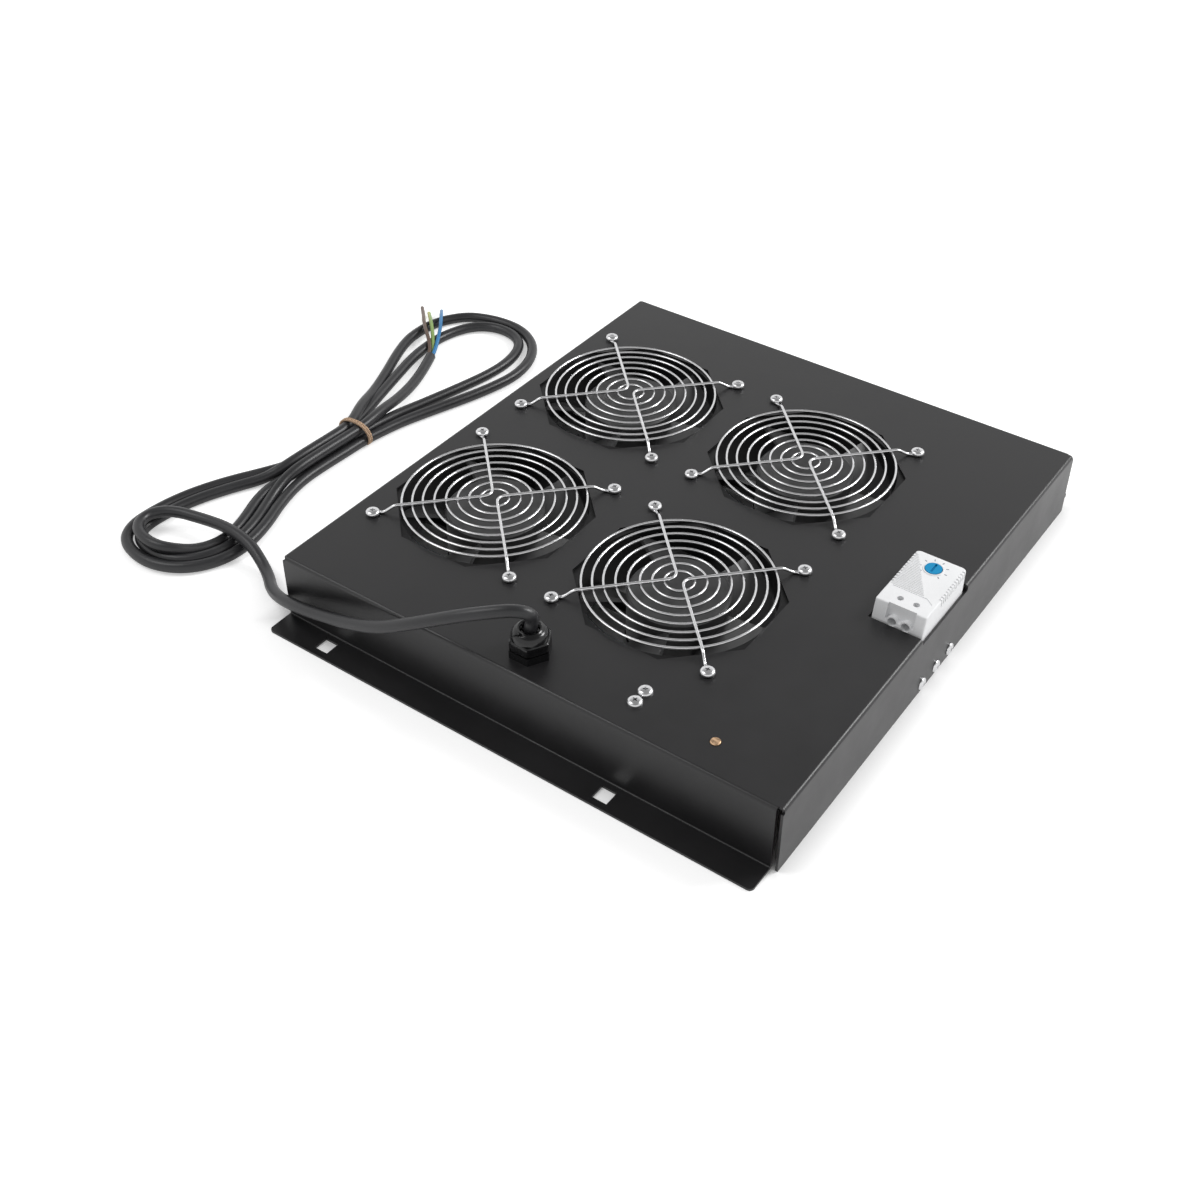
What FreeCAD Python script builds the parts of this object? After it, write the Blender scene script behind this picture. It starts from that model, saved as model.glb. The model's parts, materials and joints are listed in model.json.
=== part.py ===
import FreeCAD, Part
import math
import os
import re
import Sketcher

# Rack fan tray: a folded 1U panel with four 120 mm fans, wire finger guards, a thermostat,
# a terminal block, an earth stud and a mains lead that ends in a tied hank.
# Origin at the bottom centre of the panel, +X along the front, +Y to the back, +Z up. Millimetres.

SIZES = {
    # folded panel
    "tray_width": 338.6,
    "tray_depth": 370.4,
    "tray_height": 45.0,
    "sheet_thick": 1.5,
    "bend_inner": 0.7,
    "bend_zone": 3.0,
    "flange_width": 18.2,
    "flange_corner": 3.0,
    "wall_left_gap": 0.3,
    "wall_right_gap": 3.9,
    "side_wall_gap": 0.7,
    "slot_side": 9.5,
    "slot_inset": 9.1,
    "slot_pitch": 200.0,
    "slot_from_left": 38.1,
    "hole_clearance": 0.2,
    # fans
    "fan_size": 120.0,
    "fan_depth": 38.0,
    "fan_gap_across": 15.0,
    "fan_gap_back": 25.5,
    "left_margin": 8.6,
    "front_margin": 53.35,
    "opening_land": 3.0,
    "frame_corner": 6.0,
    "frame_flange": 4.5,
    "corner_cut": 10.0,
    "duct_wall": 2.0,
    "strut_thick": 4.0,
    "strut_width": 6.0,
    "motor_base_radius": 31.0,
    "stator_radius": 22.0,
    "stator_height": 24.0,
    "bearing_radius": 4.0,
    "bearing_length": 4.0,
    "bearing_fit": 0.02,
    "shaft_radius": 1.6,
    "shaft_length": 27.0,
    "running_fit": 0.05,
    "hub_radius": 30.5,
    "hub_wall": 2.5,
    "hub_bottom": 6.0,
    "hub_height": 30.0,
    "hub_edge": 1.2,
    "hub_boss_radius": 5.0,
    "hub_boss_length": 3.0,
    "tip_gap": 1.0,
    "blade_count": 5,
    "blade_thick": 2.0,
    "blade_middle": 21.0,
    "blade_root_at": 24.5,
    "blade_tip_over": 2.0,
    "blade_root_chord": 28.0,
    "blade_root_pitch": 42.0,
    "blade_tip_chord": 54.0,
    "blade_tip_pitch": 27.0,
    # finger guard and its screws
    "guard_screw_land": 15.2,
    "guard_rings": 8,
    "ring_first": 8.8,
    "ring_land": 1.5,
    "ring_wire": 1.6,
    "ring_lift": 4.5,
    "support_wire": 2.0,
    "support_sink": 0.3,
    "apex_offset": 2.75,
    "apex_bend": 3.0,
    "eyelet_radius": 4.0,
    "joggle_start": 7.0,
    "joggle_end": 12.0,
    "screw_radius": 2.0,
    "screw_length": 16.0,
    "screw_hole_gap": 0.1,
    "head_radius": 4.0,
    "head_height": 2.4,
    "head_taper": 0.8,
    # thermostat
    "therm_edge": 1.7,
    "therm_width": 31.6,
    "therm_back": 24.2,
    "therm_front": -30.7,
    "therm_front_top": -28.4,
    "therm_bottom": 16.0,
    "therm_proud": 12.0,
    "therm_corner": 3.0,
    "cutout_gap": 1.4,
    "cutout_edge_drop": 4.0,
    "entry_inset": 8.0,
    "entry_width": 17.3,
    "entry_depth": 5.7,
    "entry_height": 10.0,
    "entry_hole_radius": 2.7,
    "entry_hole_pitch": 8.4,
    "entry_hole_sink": 0.8,
    "entry_hole_depth": 9.0,
    "vent_width": 1.0,
    "vent_pitch": 2.7,
    "vent_count": 12,
    "vent_first": -9.4,
    "vent_cut": 1.2,
    "vent_height": 4.6,
    "terminal_inset": 11.8,
    "terminal_pitch_top": 9.9,
    "terminal_row": -21.0,
    "terminal_hole_radius": 1.65,
    "terminal_hole_depth": 9.0,
    "terminal_screw_radius": 1.5,
    "terminal_screw_height": 5.0,
    "step_row": -13.3,
    "step_inset": 3.0,
    "step_length": 21.0,
    "step_width": 0.6,
    "step_depth": 0.5,
    "dial_inset": 15.5,
    "dial_back": 13.0,
    "dial_radius": 4.95,
    "dial_gap": 0.3,
    "dial_height": 2.6,
    "dial_sunk": 2.0,
    "dial_slot_width": 1.2,
    "dial_slot_depth": 1.0,
    "stem_radius": 2.0,
    "stem_length": 9.0,
    # thermostat bracket and rail clip
    "rail_width": 35.0,
    "rail_middle": -6.0,
    "rail_top": 14.5,
    "leg_length": 48.0,
    "leg_bottom": 0.8,
    "clip_width": 20.0,
    "clip_wall": 3.3,
    "clip_hook": 3.0,
    "clip_drop": 1.6,
    "clip_gap": 0.2,
    "leg_land": 6.0,
    "bracket_screw_level": 6.0,
    "bracket_screw_length": 8.0,
    "nut_flats": 7.0,
    "nut_thick": 3.2,
    # terminal block
    "block_across": 67.2,
    "block_inset": 25.55,
    "block_width": 20.0,
    "block_length": 30.0,
    "block_height": 17.0,
    "pole_pitch": 9.7,
    "pole_level": 8.5,
    "clamp_radius": 2.7,
    "clamp_bore": 1.7,
    "clamp_inset": 1.0,
    "clamp_screw_radius": 1.2,
    "clamp_screw_length": 5.0,
    "clamp_screw_offset": 5.0,
    "block_screw_radius": 1.6,
    "block_screw_tail": 3.5,
    "block_nut_flats": 6.0,
    "block_nut_thick": 2.4,
    "groove_width": 1.6,
    "groove_depth": 2.0,
    # earth stud
    "stud_from_right": 52.4,
    "stud_inset": 21.2,
    "stud_radius": 2.9,
    "stud_proud": 0.8,
    "stud_length": 24.0,
    "stud_chamfer": 0.5,
    "stud_nut_flats": 10.0,
    "stud_nut_thick": 5.0,
    "washer_radius": 6.0,
    "washer_thick": 1.2,
    # cable gland
    "gland_across": -1.5,
    "gland_inset": 20.2,
    "gland_flats": 22.0,
    "gland_collar": 5.0,
    "gland_thread_radius": 8.0,
    "gland_tail": 12.0,
    "gland_neck_radius": 9.0,
    "gland_neck_height": 6.0,
    "gland_fit": 0.1,
    "dome_hex": 6.5,
    "dome_height": 12.0,
    "dome_top_radius": 6.6,
    "dome_lip": 1.1,
    "dome_gap": 0.3,
    "locknut_thick": 5.0,
    "seal_height": 3.0,
    "seal_gap": 0.1,
    # mains lead
    "cord_radius": 3.75,
    "cord_start": 9.0,
    "hank_band": 15.0,
    "hank_waist": -12.0,
    "tie_row": -27.0,
    "tie_width": 5.0,
    "tie_thick": 1.0,
    "tie_left": -276.5,
    "tie_length": 29.0,
    "tie_gap": 0.3,
    "core_radius": 1.4,
}

doc = FreeCAD.newDocument("RackFanTray")
sheet = doc.addObject("Spreadsheet::Sheet", "Sizes")
for row, (alias, number) in enumerate(SIZES.items(), start=1):
    sheet.set(f"A{row}", alias)
    sheet.set(f"B{row}", str(number))
    sheet.setAlias(f"B{row}", alias)
doc.recompute()

parts = []


def size(alias):
    """The number in one of the sheet's cells."""
    return float(getattr(sheet, alias))


def bound(formula):
    """An expression on the sheet's cells, from a formula on their names."""
    return re.sub(r"[a-z]+(?:_[a-z]+)+", r"Sizes.\g<0>", str(formula))


def new_body(name):
    """A body that is one sub-part of the tray."""
    body = doc.addObject("PartDesign::Body", name)
    body.Label = name
    parts.append(body)
    return body


def place(item, across="0", back="0", up="0"):
    """Ties the position of a sub-part to the sheet."""
    for axis, formula in (("x", across), ("y", back), ("z", up)):
        item.setExpression(f"Placement.Base.{axis}", bound(formula))


def origin_of(body, role):
    """One of the planes or axes of a body's own origin."""
    return next(item for item in body.Origin.OriginFeatures if item.Role == role)


def new_sketch(body, name, role, offset="0"):
    """A sketch on one of the body's planes, or on a plane parallel to it."""
    sketch = body.newObject("Sketcher::SketchObject", name)
    sketch.AttachmentSupport = (origin_of(body, role), [""])
    sketch.MapMode = "FlatFace"
    sketch.setExpression("AttachmentOffset.Base.z", bound(offset))
    return sketch


def fix_point(sketch, geometry, point, across, up):
    """Sets a point of a sketch from the sketch's origin."""
    for kind, formula in (("DistanceX", across), ("DistanceY", up)):
        index = sketch.addConstraint(Sketcher.Constraint(kind, -1, 1, geometry, point, 1.0))
        sketch.setExpression(f"Constraints[{index}]", bound(formula))


def add_polygon(sketch, corners):
    """A closed outline of straight lines with every corner tied to the sheet."""
    first = sketch.GeometryCount
    count = len(corners)
    turn = 2 * math.pi / count
    draft = [FreeCAD.Vector(math.cos(k * turn), math.sin(k * turn), 0) for k in range(count)]
    for k in range(count):
        sketch.addGeometry(Part.LineSegment(draft[k], draft[(k + 1) % count]), False)
    for k in range(count):
        following = first + (k + 1) % count
        sketch.addConstraint(Sketcher.Constraint("Coincident", first + k, 2, following, 1))
    for k, (across, up) in enumerate(corners):
        fix_point(sketch, first + k, 1, across, up)


def add_rectangle(sketch, left, right, low, high):
    """A rectangle between two pairs of sizes."""
    add_polygon(sketch, [(left, low), (right, low), (right, high), (left, high)])


def add_circle(sketch, across, up, radius):
    """A circle with its centre and radius tied to the sheet."""
    index = sketch.addGeometry(Part.Circle(FreeCAD.Vector(1, 1, 0), FreeCAD.Vector(0, 0, 1), 1.0), False)
    fix_point(sketch, index, 3, across, up)
    datum = sketch.addConstraint(Sketcher.Constraint("Radius", index, 1.0))
    sketch.setExpression(f"Constraints[{datum}]", bound(radius))


def add_hexagon(sketch, across, up, flats):
    """A regular hexagon given by its width over the flats."""
    corners = []
    for k in range(6):
        reach = f"({flats}) / sqrt(3)"
        corners.append((f"{across} + {reach} * cos({60 * k})", f"{up} + {reach} * sin({60 * k})"))
    add_polygon(sketch, corners)


def pad(body, sketch, name, length, behind=None, both=False):
    """Raises a sketch along its normal, to one side, to two sides or to both sides alike."""
    feature = body.newObject("PartDesign::Pad", name)
    feature.Profile = sketch
    feature.setExpression("Length", bound(length))
    if behind is not None:
        feature.SideType = "Two sides"
        feature.setExpression("Length2", bound(behind))
    if both:
        feature.SideType = "Symmetric"
    body.Tip = feature
    return feature


def pocket(body, sketch, name, depth, along_normal=True):
    """Cuts a sketch into the body, along the sketch's normal or against it."""
    feature = body.newObject("PartDesign::Pocket", name)
    feature.Profile = sketch
    feature.Reversed = along_normal
    feature.setExpression("Length", bound(depth))
    body.Tip = feature
    return feature


def turned(body, sketch, name, cut=False):
    """Turns a sketch once round its vertical axis."""
    kind = "PartDesign::Groove" if cut else "PartDesign::Revolution"
    feature = body.newObject(kind, name)
    feature.Profile = sketch
    feature.ReferenceAxis = (sketch, ["V_Axis"])
    feature.Angle = 360
    body.Tip = feature
    return feature


def repeat_along(body, name, source, steps):
    """Repeats a feature along the body's axes; each step is an axis and a pitch, and makes a pair."""
    multi = body.newObject("PartDesign::MultiTransform", name)
    multi.Originals = [source]
    patterns = []
    for number, (role, pitch, count) in enumerate(steps):
        pattern = doc.addObject("PartDesign::LinearPattern", f"{name}Step{number}")
        pattern.Direction = (origin_of(body, role), [""])
        pattern.setExpression("Length", bound(f"({pitch}) * {count - 1}"))
        pattern.Occurrences = count
        body.addObject(pattern)
        patterns.append(pattern)
    multi.Transformations = patterns
    body.Tip = multi
    return multi


def repeat_round(body, name, source, count):
    """Repeats a feature round the body's vertical axis."""
    pattern = body.newObject("PartDesign::PolarPattern", name)
    pattern.Originals = [source]
    pattern.Axis = (origin_of(body, "Z_Axis"), [""])
    pattern.Angle = 360
    pattern.setExpression("Occurrences", bound(count))
    body.Tip = pattern
    return pattern


def edges_along(axis, **at):
    """A test for straight edges along an axis at the given distances from the origin's planes."""
    def test(edge):
        ends = [vertex.Point for vertex in edge.Vertexes]
        if len(ends) != 2:
            return False
        run = ends[1] - ends[0]
        straight = all(abs(getattr(run, other)) < 1e-6 for other in "xyz" if other != axis)
        return straight and all(abs(abs(getattr(ends[0], key)) - value) < 1e-3 for key, value in at.items())
    return test


def edge_names(feature, *tests):
    """The names of a feature's edges that pass one of the tests."""
    doc.recompute()
    found = []
    for number, edge in enumerate(feature.Shape.Edges, start=1):
        if any(test(edge) for test in tests):
            found.append(f"Edge{number}")
    return found


def fillet(body, base, name, radius, *tests):
    """Rounds the edges of a feature that pass one of the tests."""
    names = edge_names(base, *tests)
    feature = body.newObject("PartDesign::Fillet", name)
    feature.Base = (base, names)
    feature.setExpression("Radius", bound(radius))
    body.Tip = feature
    return feature


def chamfer(body, base, name, width, *tests):
    """Breaks the edges of a feature that pass one of the tests."""
    names = edge_names(base, *tests)
    feature = body.newObject("PartDesign::Chamfer", name)
    feature.Base = (base, names)
    feature.setExpression("Size", bound(width))
    body.Tip = feature
    return feature


def circles_at(level, radius):
    """A test for whole circles of one radius at one level."""
    def test(edge):
        curve = edge.Curve
        return isinstance(curve, Part.Circle) and abs(curve.Radius - radius) < 1e-3 \
            and abs(curve.Center.z - level) < 1e-3
    return test


# Folded panel: two long walls with flanges at their feet, then the deck, then the side walls
HALF_WIDTH = "(tray_width / 2)"
HALF_DEPTH = "(tray_depth / 2)"
DECK_UNDER = "(tray_height - sheet_thick)"
BEND_OUTER = "(bend_inner + sheet_thick)"
BEND_START = "(tray_height - bend_zone)"
WALL_LEFT_END = f"({HALF_WIDTH} - wall_left_gap)"
WALL_RIGHT_END = f"({HALF_WIDTH} - wall_right_gap)"
FAN_X = f"(left_margin + fan_size / 2 - {HALF_WIDTH})"
FAN_Y = f"(front_margin + fan_size / 2 - {HALF_DEPTH})"
FAN_PITCH_ACROSS = "(fan_size + fan_gap_across)"
FAN_PITCH_BACK = "(fan_size + fan_gap_back)"
SCREW_PITCH = "(fan_size - guard_screw_land)"
DUCT_RADIUS = "(fan_size / 2 - duct_wall)"
BLOCK_MIDDLE = f"(block_inset - {HALF_DEPTH})"
STUD_X = f"({HALF_WIDTH} - stud_from_right)"
STUD_Y = f"(stud_inset - {HALF_DEPTH})"
GLAND_Y = f"(gland_inset - {HALF_DEPTH})"
THERM_LEFT = f"({HALF_WIDTH} - therm_edge - therm_width)"
LEG_PITCH = "(leg_length / 2 - leg_land)"

tray = new_body("tray_panel")
feet = new_sketch(tray, "WallAndFlange", "YZ_Plane")
for side in (-1, 1):
    add_polygon(feet, [
        (f"{side} * ({HALF_DEPTH} + flange_width)", "0"),
        (f"{side} * ({HALF_DEPTH} + flange_width)", "sheet_thick"),
        (f"{side} * {HALF_DEPTH}", "sheet_thick"),
        (f"{side} * {HALF_DEPTH}", BEND_START),
        (f"{side} * ({HALF_DEPTH} - sheet_thick)", BEND_START),
        (f"{side} * ({HALF_DEPTH} - sheet_thick)", "0"),
    ])
walls = pad(tray, feet, "LongWalls", WALL_RIGHT_END, behind=WALL_LEFT_END)

half_width = size("tray_width") / 2
half_depth = size("tray_depth") / 2
height = size("tray_height")
thick = size("sheet_thick")
walls = fillet(tray, walls, "FootBendInner", "bend_inner", edges_along("x", y=half_depth, z=thick))
walls = fillet(tray, walls, "FootBendOuter", BEND_OUTER, edges_along("x", y=half_depth - thick, z=0))
walls = fillet(
    tray, walls, "FlangeCorners", "flange_corner",
    edges_along("z", x=half_width - size("wall_left_gap"), y=half_depth + size("flange_width")),
    edges_along("z", x=half_width - size("wall_right_gap"), y=half_depth + size("flange_width")),
)

crown = new_sketch(tray, "DeckProfile", "YZ_Plane")
add_polygon(crown, [
    (f"-{HALF_DEPTH}", BEND_START),
    (f"-{HALF_DEPTH}", "tray_height"),
    (HALF_DEPTH, "tray_height"),
    (HALF_DEPTH, BEND_START),
    (f"{HALF_DEPTH} - sheet_thick", BEND_START),
    (f"{HALF_DEPTH} - sheet_thick", DECK_UNDER),
    (f"-({HALF_DEPTH} - sheet_thick)", DECK_UNDER),
    (f"-({HALF_DEPTH} - sheet_thick)", BEND_START),
])
deck = pad(tray, crown, "Deck", WALL_RIGHT_END, behind=f"{HALF_WIDTH} - {BEND_OUTER}")
deck = fillet(tray, deck, "DeckBendOuter", BEND_OUTER, edges_along("x", y=half_depth, z=height))
deck = fillet(tray, deck, "DeckBendInner", "bend_inner",
              edges_along("x", y=half_depth - thick, z=height - thick))

sides = new_sketch(tray, "SideWallProfile", "XZ_Plane")
add_polygon(sides, [
    (f"-{HALF_WIDTH}", "0"),
    (f"-{HALF_WIDTH}", "tray_height"),
    (HALF_WIDTH, "tray_height"),
    (HALF_WIDTH, "0"),
    (f"{HALF_WIDTH} - sheet_thick", "0"),
    (f"{HALF_WIDTH} - sheet_thick", DECK_UNDER),
    (f"-({HALF_WIDTH} - sheet_thick)", DECK_UNDER),
    (f"-({HALF_WIDTH} - sheet_thick)", "0"),
])
skirt = pad(tray, sides, "SideWalls", f"tray_depth - 2 * {BEND_OUTER}", both=True)
skirt = fillet(tray, skirt, "SideBendOuter", BEND_OUTER, edges_along("y", x=half_width, z=height))
skirt = fillet(tray, skirt, "SideBendInner", "bend_inner",
               edges_along("y", x=half_width - thick, z=height - thick))
lips = new_sketch(tray, "RightWallEnds", "XZ_Plane")
add_rectangle(lips, f"{HALF_WIDTH} - sheet_thick", HALF_WIDTH, "0", BEND_START)
pad(tray, lips, "RightWallLips", f"2 * ({HALF_DEPTH} - side_wall_gap)", both=True)

# Openings of the deck: an octagon and four screw holes over each fan
fan_cut = new_sketch(tray, "FanOpening", "XY_Plane")
octagon = []
for k in range(8):
    reach = "(fan_size - opening_land) / 2 / cos(22.5)"
    octagon.append((f"{FAN_X} + {reach} * cos({22.5 + 45 * k})", f"{FAN_Y} + {reach} * sin({22.5 + 45 * k})"))
add_polygon(fan_cut, octagon)
for across in (-1, 1):
    for back in (-1, 1):
        add_circle(fan_cut, f"{FAN_X} + {across} * {SCREW_PITCH} / 2",
                   f"{FAN_Y} + {back} * {SCREW_PITCH} / 2", "screw_radius + hole_clearance")
openings = pocket(tray, fan_cut, "FanOpenings", "tray_height + sheet_thick")
repeat_along(tray, "FanGrid", openings, [("X_Axis", FAN_PITCH_ACROSS, 2), ("Y_Axis", FAN_PITCH_BACK, 2)])

# Square holes of the flanges
slots = new_sketch(tray, "FlangeSlot", "XY_Plane")
SLOT_Y = f"({HALF_DEPTH} + slot_inset)"
SLOT_X = f"(slot_from_left - {HALF_WIDTH})"
add_rectangle(slots, f"{SLOT_X} - slot_side / 2", f"{SLOT_X} + slot_side / 2",
              f"-{SLOT_Y} - slot_side / 2", f"-{SLOT_Y} + slot_side / 2")
slot = pocket(tray, slots, "FlangeSlots", "2 * sheet_thick")
repeat_along(tray, "SlotGrid", slot, [("X_Axis", "slot_pitch", 2), ("Y_Axis", f"2 * {SLOT_Y}", 2)])

# Round holes of the deck for the terminal block, the gland and the earth stud
round_cut = new_sketch(tray, "DeckHoles", "XY_Plane")
for back in (-1, 1):
    add_circle(round_cut, "block_across", f"{BLOCK_MIDDLE} + {back} * pole_pitch / 2",
               "block_screw_radius + hole_clearance")
add_circle(round_cut, "gland_across", GLAND_Y, "gland_thread_radius + hole_clearance")
add_circle(round_cut, STUD_X, STUD_Y, "stud_radius + hole_clearance")
pocket(tray, round_cut, "DeckHoleCuts", "tray_height + sheet_thick")

# Cut-out for the thermostat, which also notches the bend of the right wall
notch = new_sketch(tray, "ThermostatCutout", "XY_Plane", "tray_height - cutout_edge_drop")
add_rectangle(notch, f"{THERM_LEFT} - cutout_gap", f"{HALF_WIDTH} + sheet_thick",
              "therm_front - cutout_gap", "therm_back + cutout_gap")
pocket(tray, notch, "ThermostatCut", "2 * cutout_edge_drop")

wall_holes = new_sketch(tray, "BracketHoles", "YZ_Plane", f"{HALF_WIDTH} - 2 * sheet_thick")
for k in (-1, 0, 1):
    add_circle(wall_holes, f"rail_middle + {k} * {LEG_PITCH}", "bracket_screw_level",
               "screw_radius + hole_clearance")
pocket(tray, wall_holes, "BracketHoleCuts", "3 * sheet_thick")


def fan_places():
    """The number of each fan and the formulas of its centre."""
    number = 0
    for back in range(2):
        for across in range(2):
            number += 1
            yield number, f"{FAN_X} + {across} * {FAN_PITCH_ACROSS}", f"{FAN_Y} + {back} * {FAN_PITCH_BACK}"


FAN_BOTTOM = f"({DECK_UNDER} - fan_depth)"


def build_fan_frame(number, across, back):
    """Square frame with a round duct, four struts and the base that carries the motor."""
    body = new_body(f"fan_frame_{number}")
    place(body, across, back, FAN_BOTTOM)
    outline = new_sketch(body, f"FrameOutline{number}", "XY_Plane")
    add_rectangle(outline, "-fan_size / 2", "fan_size / 2", "-fan_size / 2", "fan_size / 2")
    block = pad(body, outline, f"FrameBlock{number}", "fan_depth")
    half = size("fan_size") / 2
    fillet(body, block, f"FrameCorners{number}", "frame_corner", edges_along("z", x=half, y=half))
    recess = new_sketch(body, f"CornerRecess{number}", "XY_Plane", "frame_flange")
    for x in (-1, 1):
        for y in (-1, 1):
            add_polygon(recess, [
                (f"{x} * (fan_size / 2 + 1)", f"{y} * (fan_size / 2 - corner_cut - 1)"),
                (f"{x} * (fan_size / 2 + 1)", f"{y} * (fan_size / 2 + 1)"),
                (f"{x} * (fan_size / 2 - corner_cut - 1)", f"{y} * (fan_size / 2 + 1)"),
            ])
    pocket(body, recess, f"CornerRecessCut{number}", "fan_depth - 2 * frame_flange")
    duct = new_sketch(body, f"Duct{number}", "XY_Plane", "strut_thick")
    add_circle(duct, "0", "0", DUCT_RADIUS)
    pocket(body, duct, f"DuctCut{number}", "fan_depth")
    ring = new_sketch(body, f"Outlet{number}", "XY_Plane")
    add_circle(ring, "0", "0", DUCT_RADIUS)
    add_circle(ring, "0", "0", "motor_base_radius")
    pocket(body, ring, f"OutletCut{number}", "strut_thick")
    strut = new_sketch(body, f"Strut{number}", "XY_Plane")
    add_rectangle(strut, "motor_base_radius - 1", f"{DUCT_RADIUS} + 0.5", "-strut_width / 2", "strut_width / 2")
    bar = pad(body, strut, f"StrutBar{number}", "strut_thick")
    repeat_round(body, f"Struts{number}", bar, "4")
    holes = new_sketch(body, f"FrameHoles{number}", "XY_Plane")
    for x in (-1, 1):
        for y in (-1, 1):
            add_circle(holes, f"{x} * {SCREW_PITCH} / 2", f"{y} * {SCREW_PITCH} / 2",
                       "screw_radius + screw_hole_gap")
    pocket(body, holes, f"FrameHoleCuts{number}", "fan_depth")


def build_fan_stator(number, across, back):
    """Wound core of the motor, on the frame's base, with the bore that holds the bearings."""
    body = new_body(f"fan_stator_{number}")
    place(body, across, back, f"{FAN_BOTTOM} + strut_thick")
    outline = new_sketch(body, f"StatorOutline{number}", "XY_Plane")
    add_circle(outline, "0", "0", "stator_radius")
    add_circle(outline, "0", "0", "bearing_radius")
    pad(body, outline, f"StatorCore{number}", "stator_height")


def build_fan_shaft(number, across, back):
    """Shaft that is pressed into the rotor and runs in the two bearings."""
    shaft = doc.addObject("Part::Cylinder", f"fan_shaft_{number}")
    shaft.Label = f"fan_shaft_{number}"
    shaft.setExpression("Radius", bound("shaft_radius"))
    shaft.setExpression("Height", bound("shaft_length"))
    place(shaft, across, back, f"{FAN_BOTTOM} + hub_bottom + hub_height - hub_wall - shaft_length")
    parts.append(shaft)


def build_fan_rotor(number, across, back):
    """Hub with five wide blades that widen and flatten from root to tip."""
    body = new_body(f"fan_rotor_{number}")
    place(body, across, back, FAN_BOTTOM)
    hub_outline = new_sketch(body, f"HubOutline{number}", "XY_Plane", "hub_bottom")
    add_circle(hub_outline, "0", "0", "hub_radius")
    hub = pad(body, hub_outline, f"Hub{number}", "hub_height")
    chamfer(body, hub, f"HubEdge{number}", "hub_edge",
            circles_at(size("hub_bottom") + size("hub_height"), size("hub_radius")))
    sections = []
    for where, distance in (("root", "blade_root_at"), ("tip", f"{DUCT_RADIUS} + blade_tip_over")):
        section = new_sketch(body, f"Blade{where.title()}{number}", "XZ_Plane", distance)
        corners = []
        for along, over in ((-1, -1), (1, -1), (1, 1), (-1, 1)):
            chord = f"{along} * blade_{where}_chord / 2"
            skin = f"{over} * blade_thick / 2"
            corners.append((
                f"{chord} * cos(blade_{where}_pitch) - {skin} * sin(blade_{where}_pitch)",
                f"blade_middle + {chord} * sin(blade_{where}_pitch) + {skin} * cos(blade_{where}_pitch)",
            ))
        add_polygon(section, corners)
        sections.append(section)
    blade = body.newObject("PartDesign::AdditiveLoft", f"Blade{number}")
    blade.Profile = sections[0]
    blade.Sections = [sections[1]]
    blade.Ruled = True
    body.Tip = blade
    repeat_round(body, f"Blades{number}", blade, "blade_count")
    trim = new_sketch(body, f"TipTrim{number}", "XZ_Plane")
    add_rectangle(trim, f"{DUCT_RADIUS} - tip_gap", f"1.3 * {DUCT_RADIUS}", "0", "fan_depth")
    turned(body, trim, f"TipTrimCut{number}", cut=True)
    cavity = new_sketch(body, f"HubCavity{number}", "XY_Plane", "hub_bottom")
    add_circle(cavity, "0", "0", "hub_radius - hub_wall")
    pocket(body, cavity, f"HubCavityCut{number}", "hub_height - hub_wall")
    boss = new_sketch(body, f"HubBoss{number}", "XY_Plane", "hub_bottom + hub_height - hub_wall - hub_boss_length")
    add_circle(boss, "0", "0", "hub_boss_radius")
    add_circle(boss, "0", "0", "shaft_radius")
    pad(body, boss, f"HubBossPad{number}", "hub_boss_length")


def polygon_ring(radius, width, level, thick_up, count):
    """A flat ring of many straight sides, centred on the vertical axis."""
    prisms = []
    for reach in (radius + width / 2, radius - width / 2):
        points = []
        for k in range(count + 1):
            angle = 2 * math.pi * (k + 0.5) / count
            points.append(FreeCAD.Vector(reach * math.cos(angle), reach * math.sin(angle), level))
        prisms.append(Part.Face(Part.makePolygon(points)).extrude(FreeCAD.Vector(0, 0, thick_up)))
    return prisms[0].cut(prisms[1])


def mitred_bar(points, side):
    """A square bar along a bent line, mitred at its corners."""
    start, following = points[0], points[1]
    direction = (following - start).normalize()
    sideways = direction.cross(FreeCAD.Vector(0, 0, 1)).normalize() * (side / 2)
    upward = FreeCAD.Vector(0, 0, side / 2)
    corners = [start + sideways + upward, start - sideways + upward,
               start - sideways - upward, start + sideways - upward]
    profile = Part.makePolygon(corners + corners[:1])
    return Part.makePolygon(points).makePipeShell([profile], True, False, 1)


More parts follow.
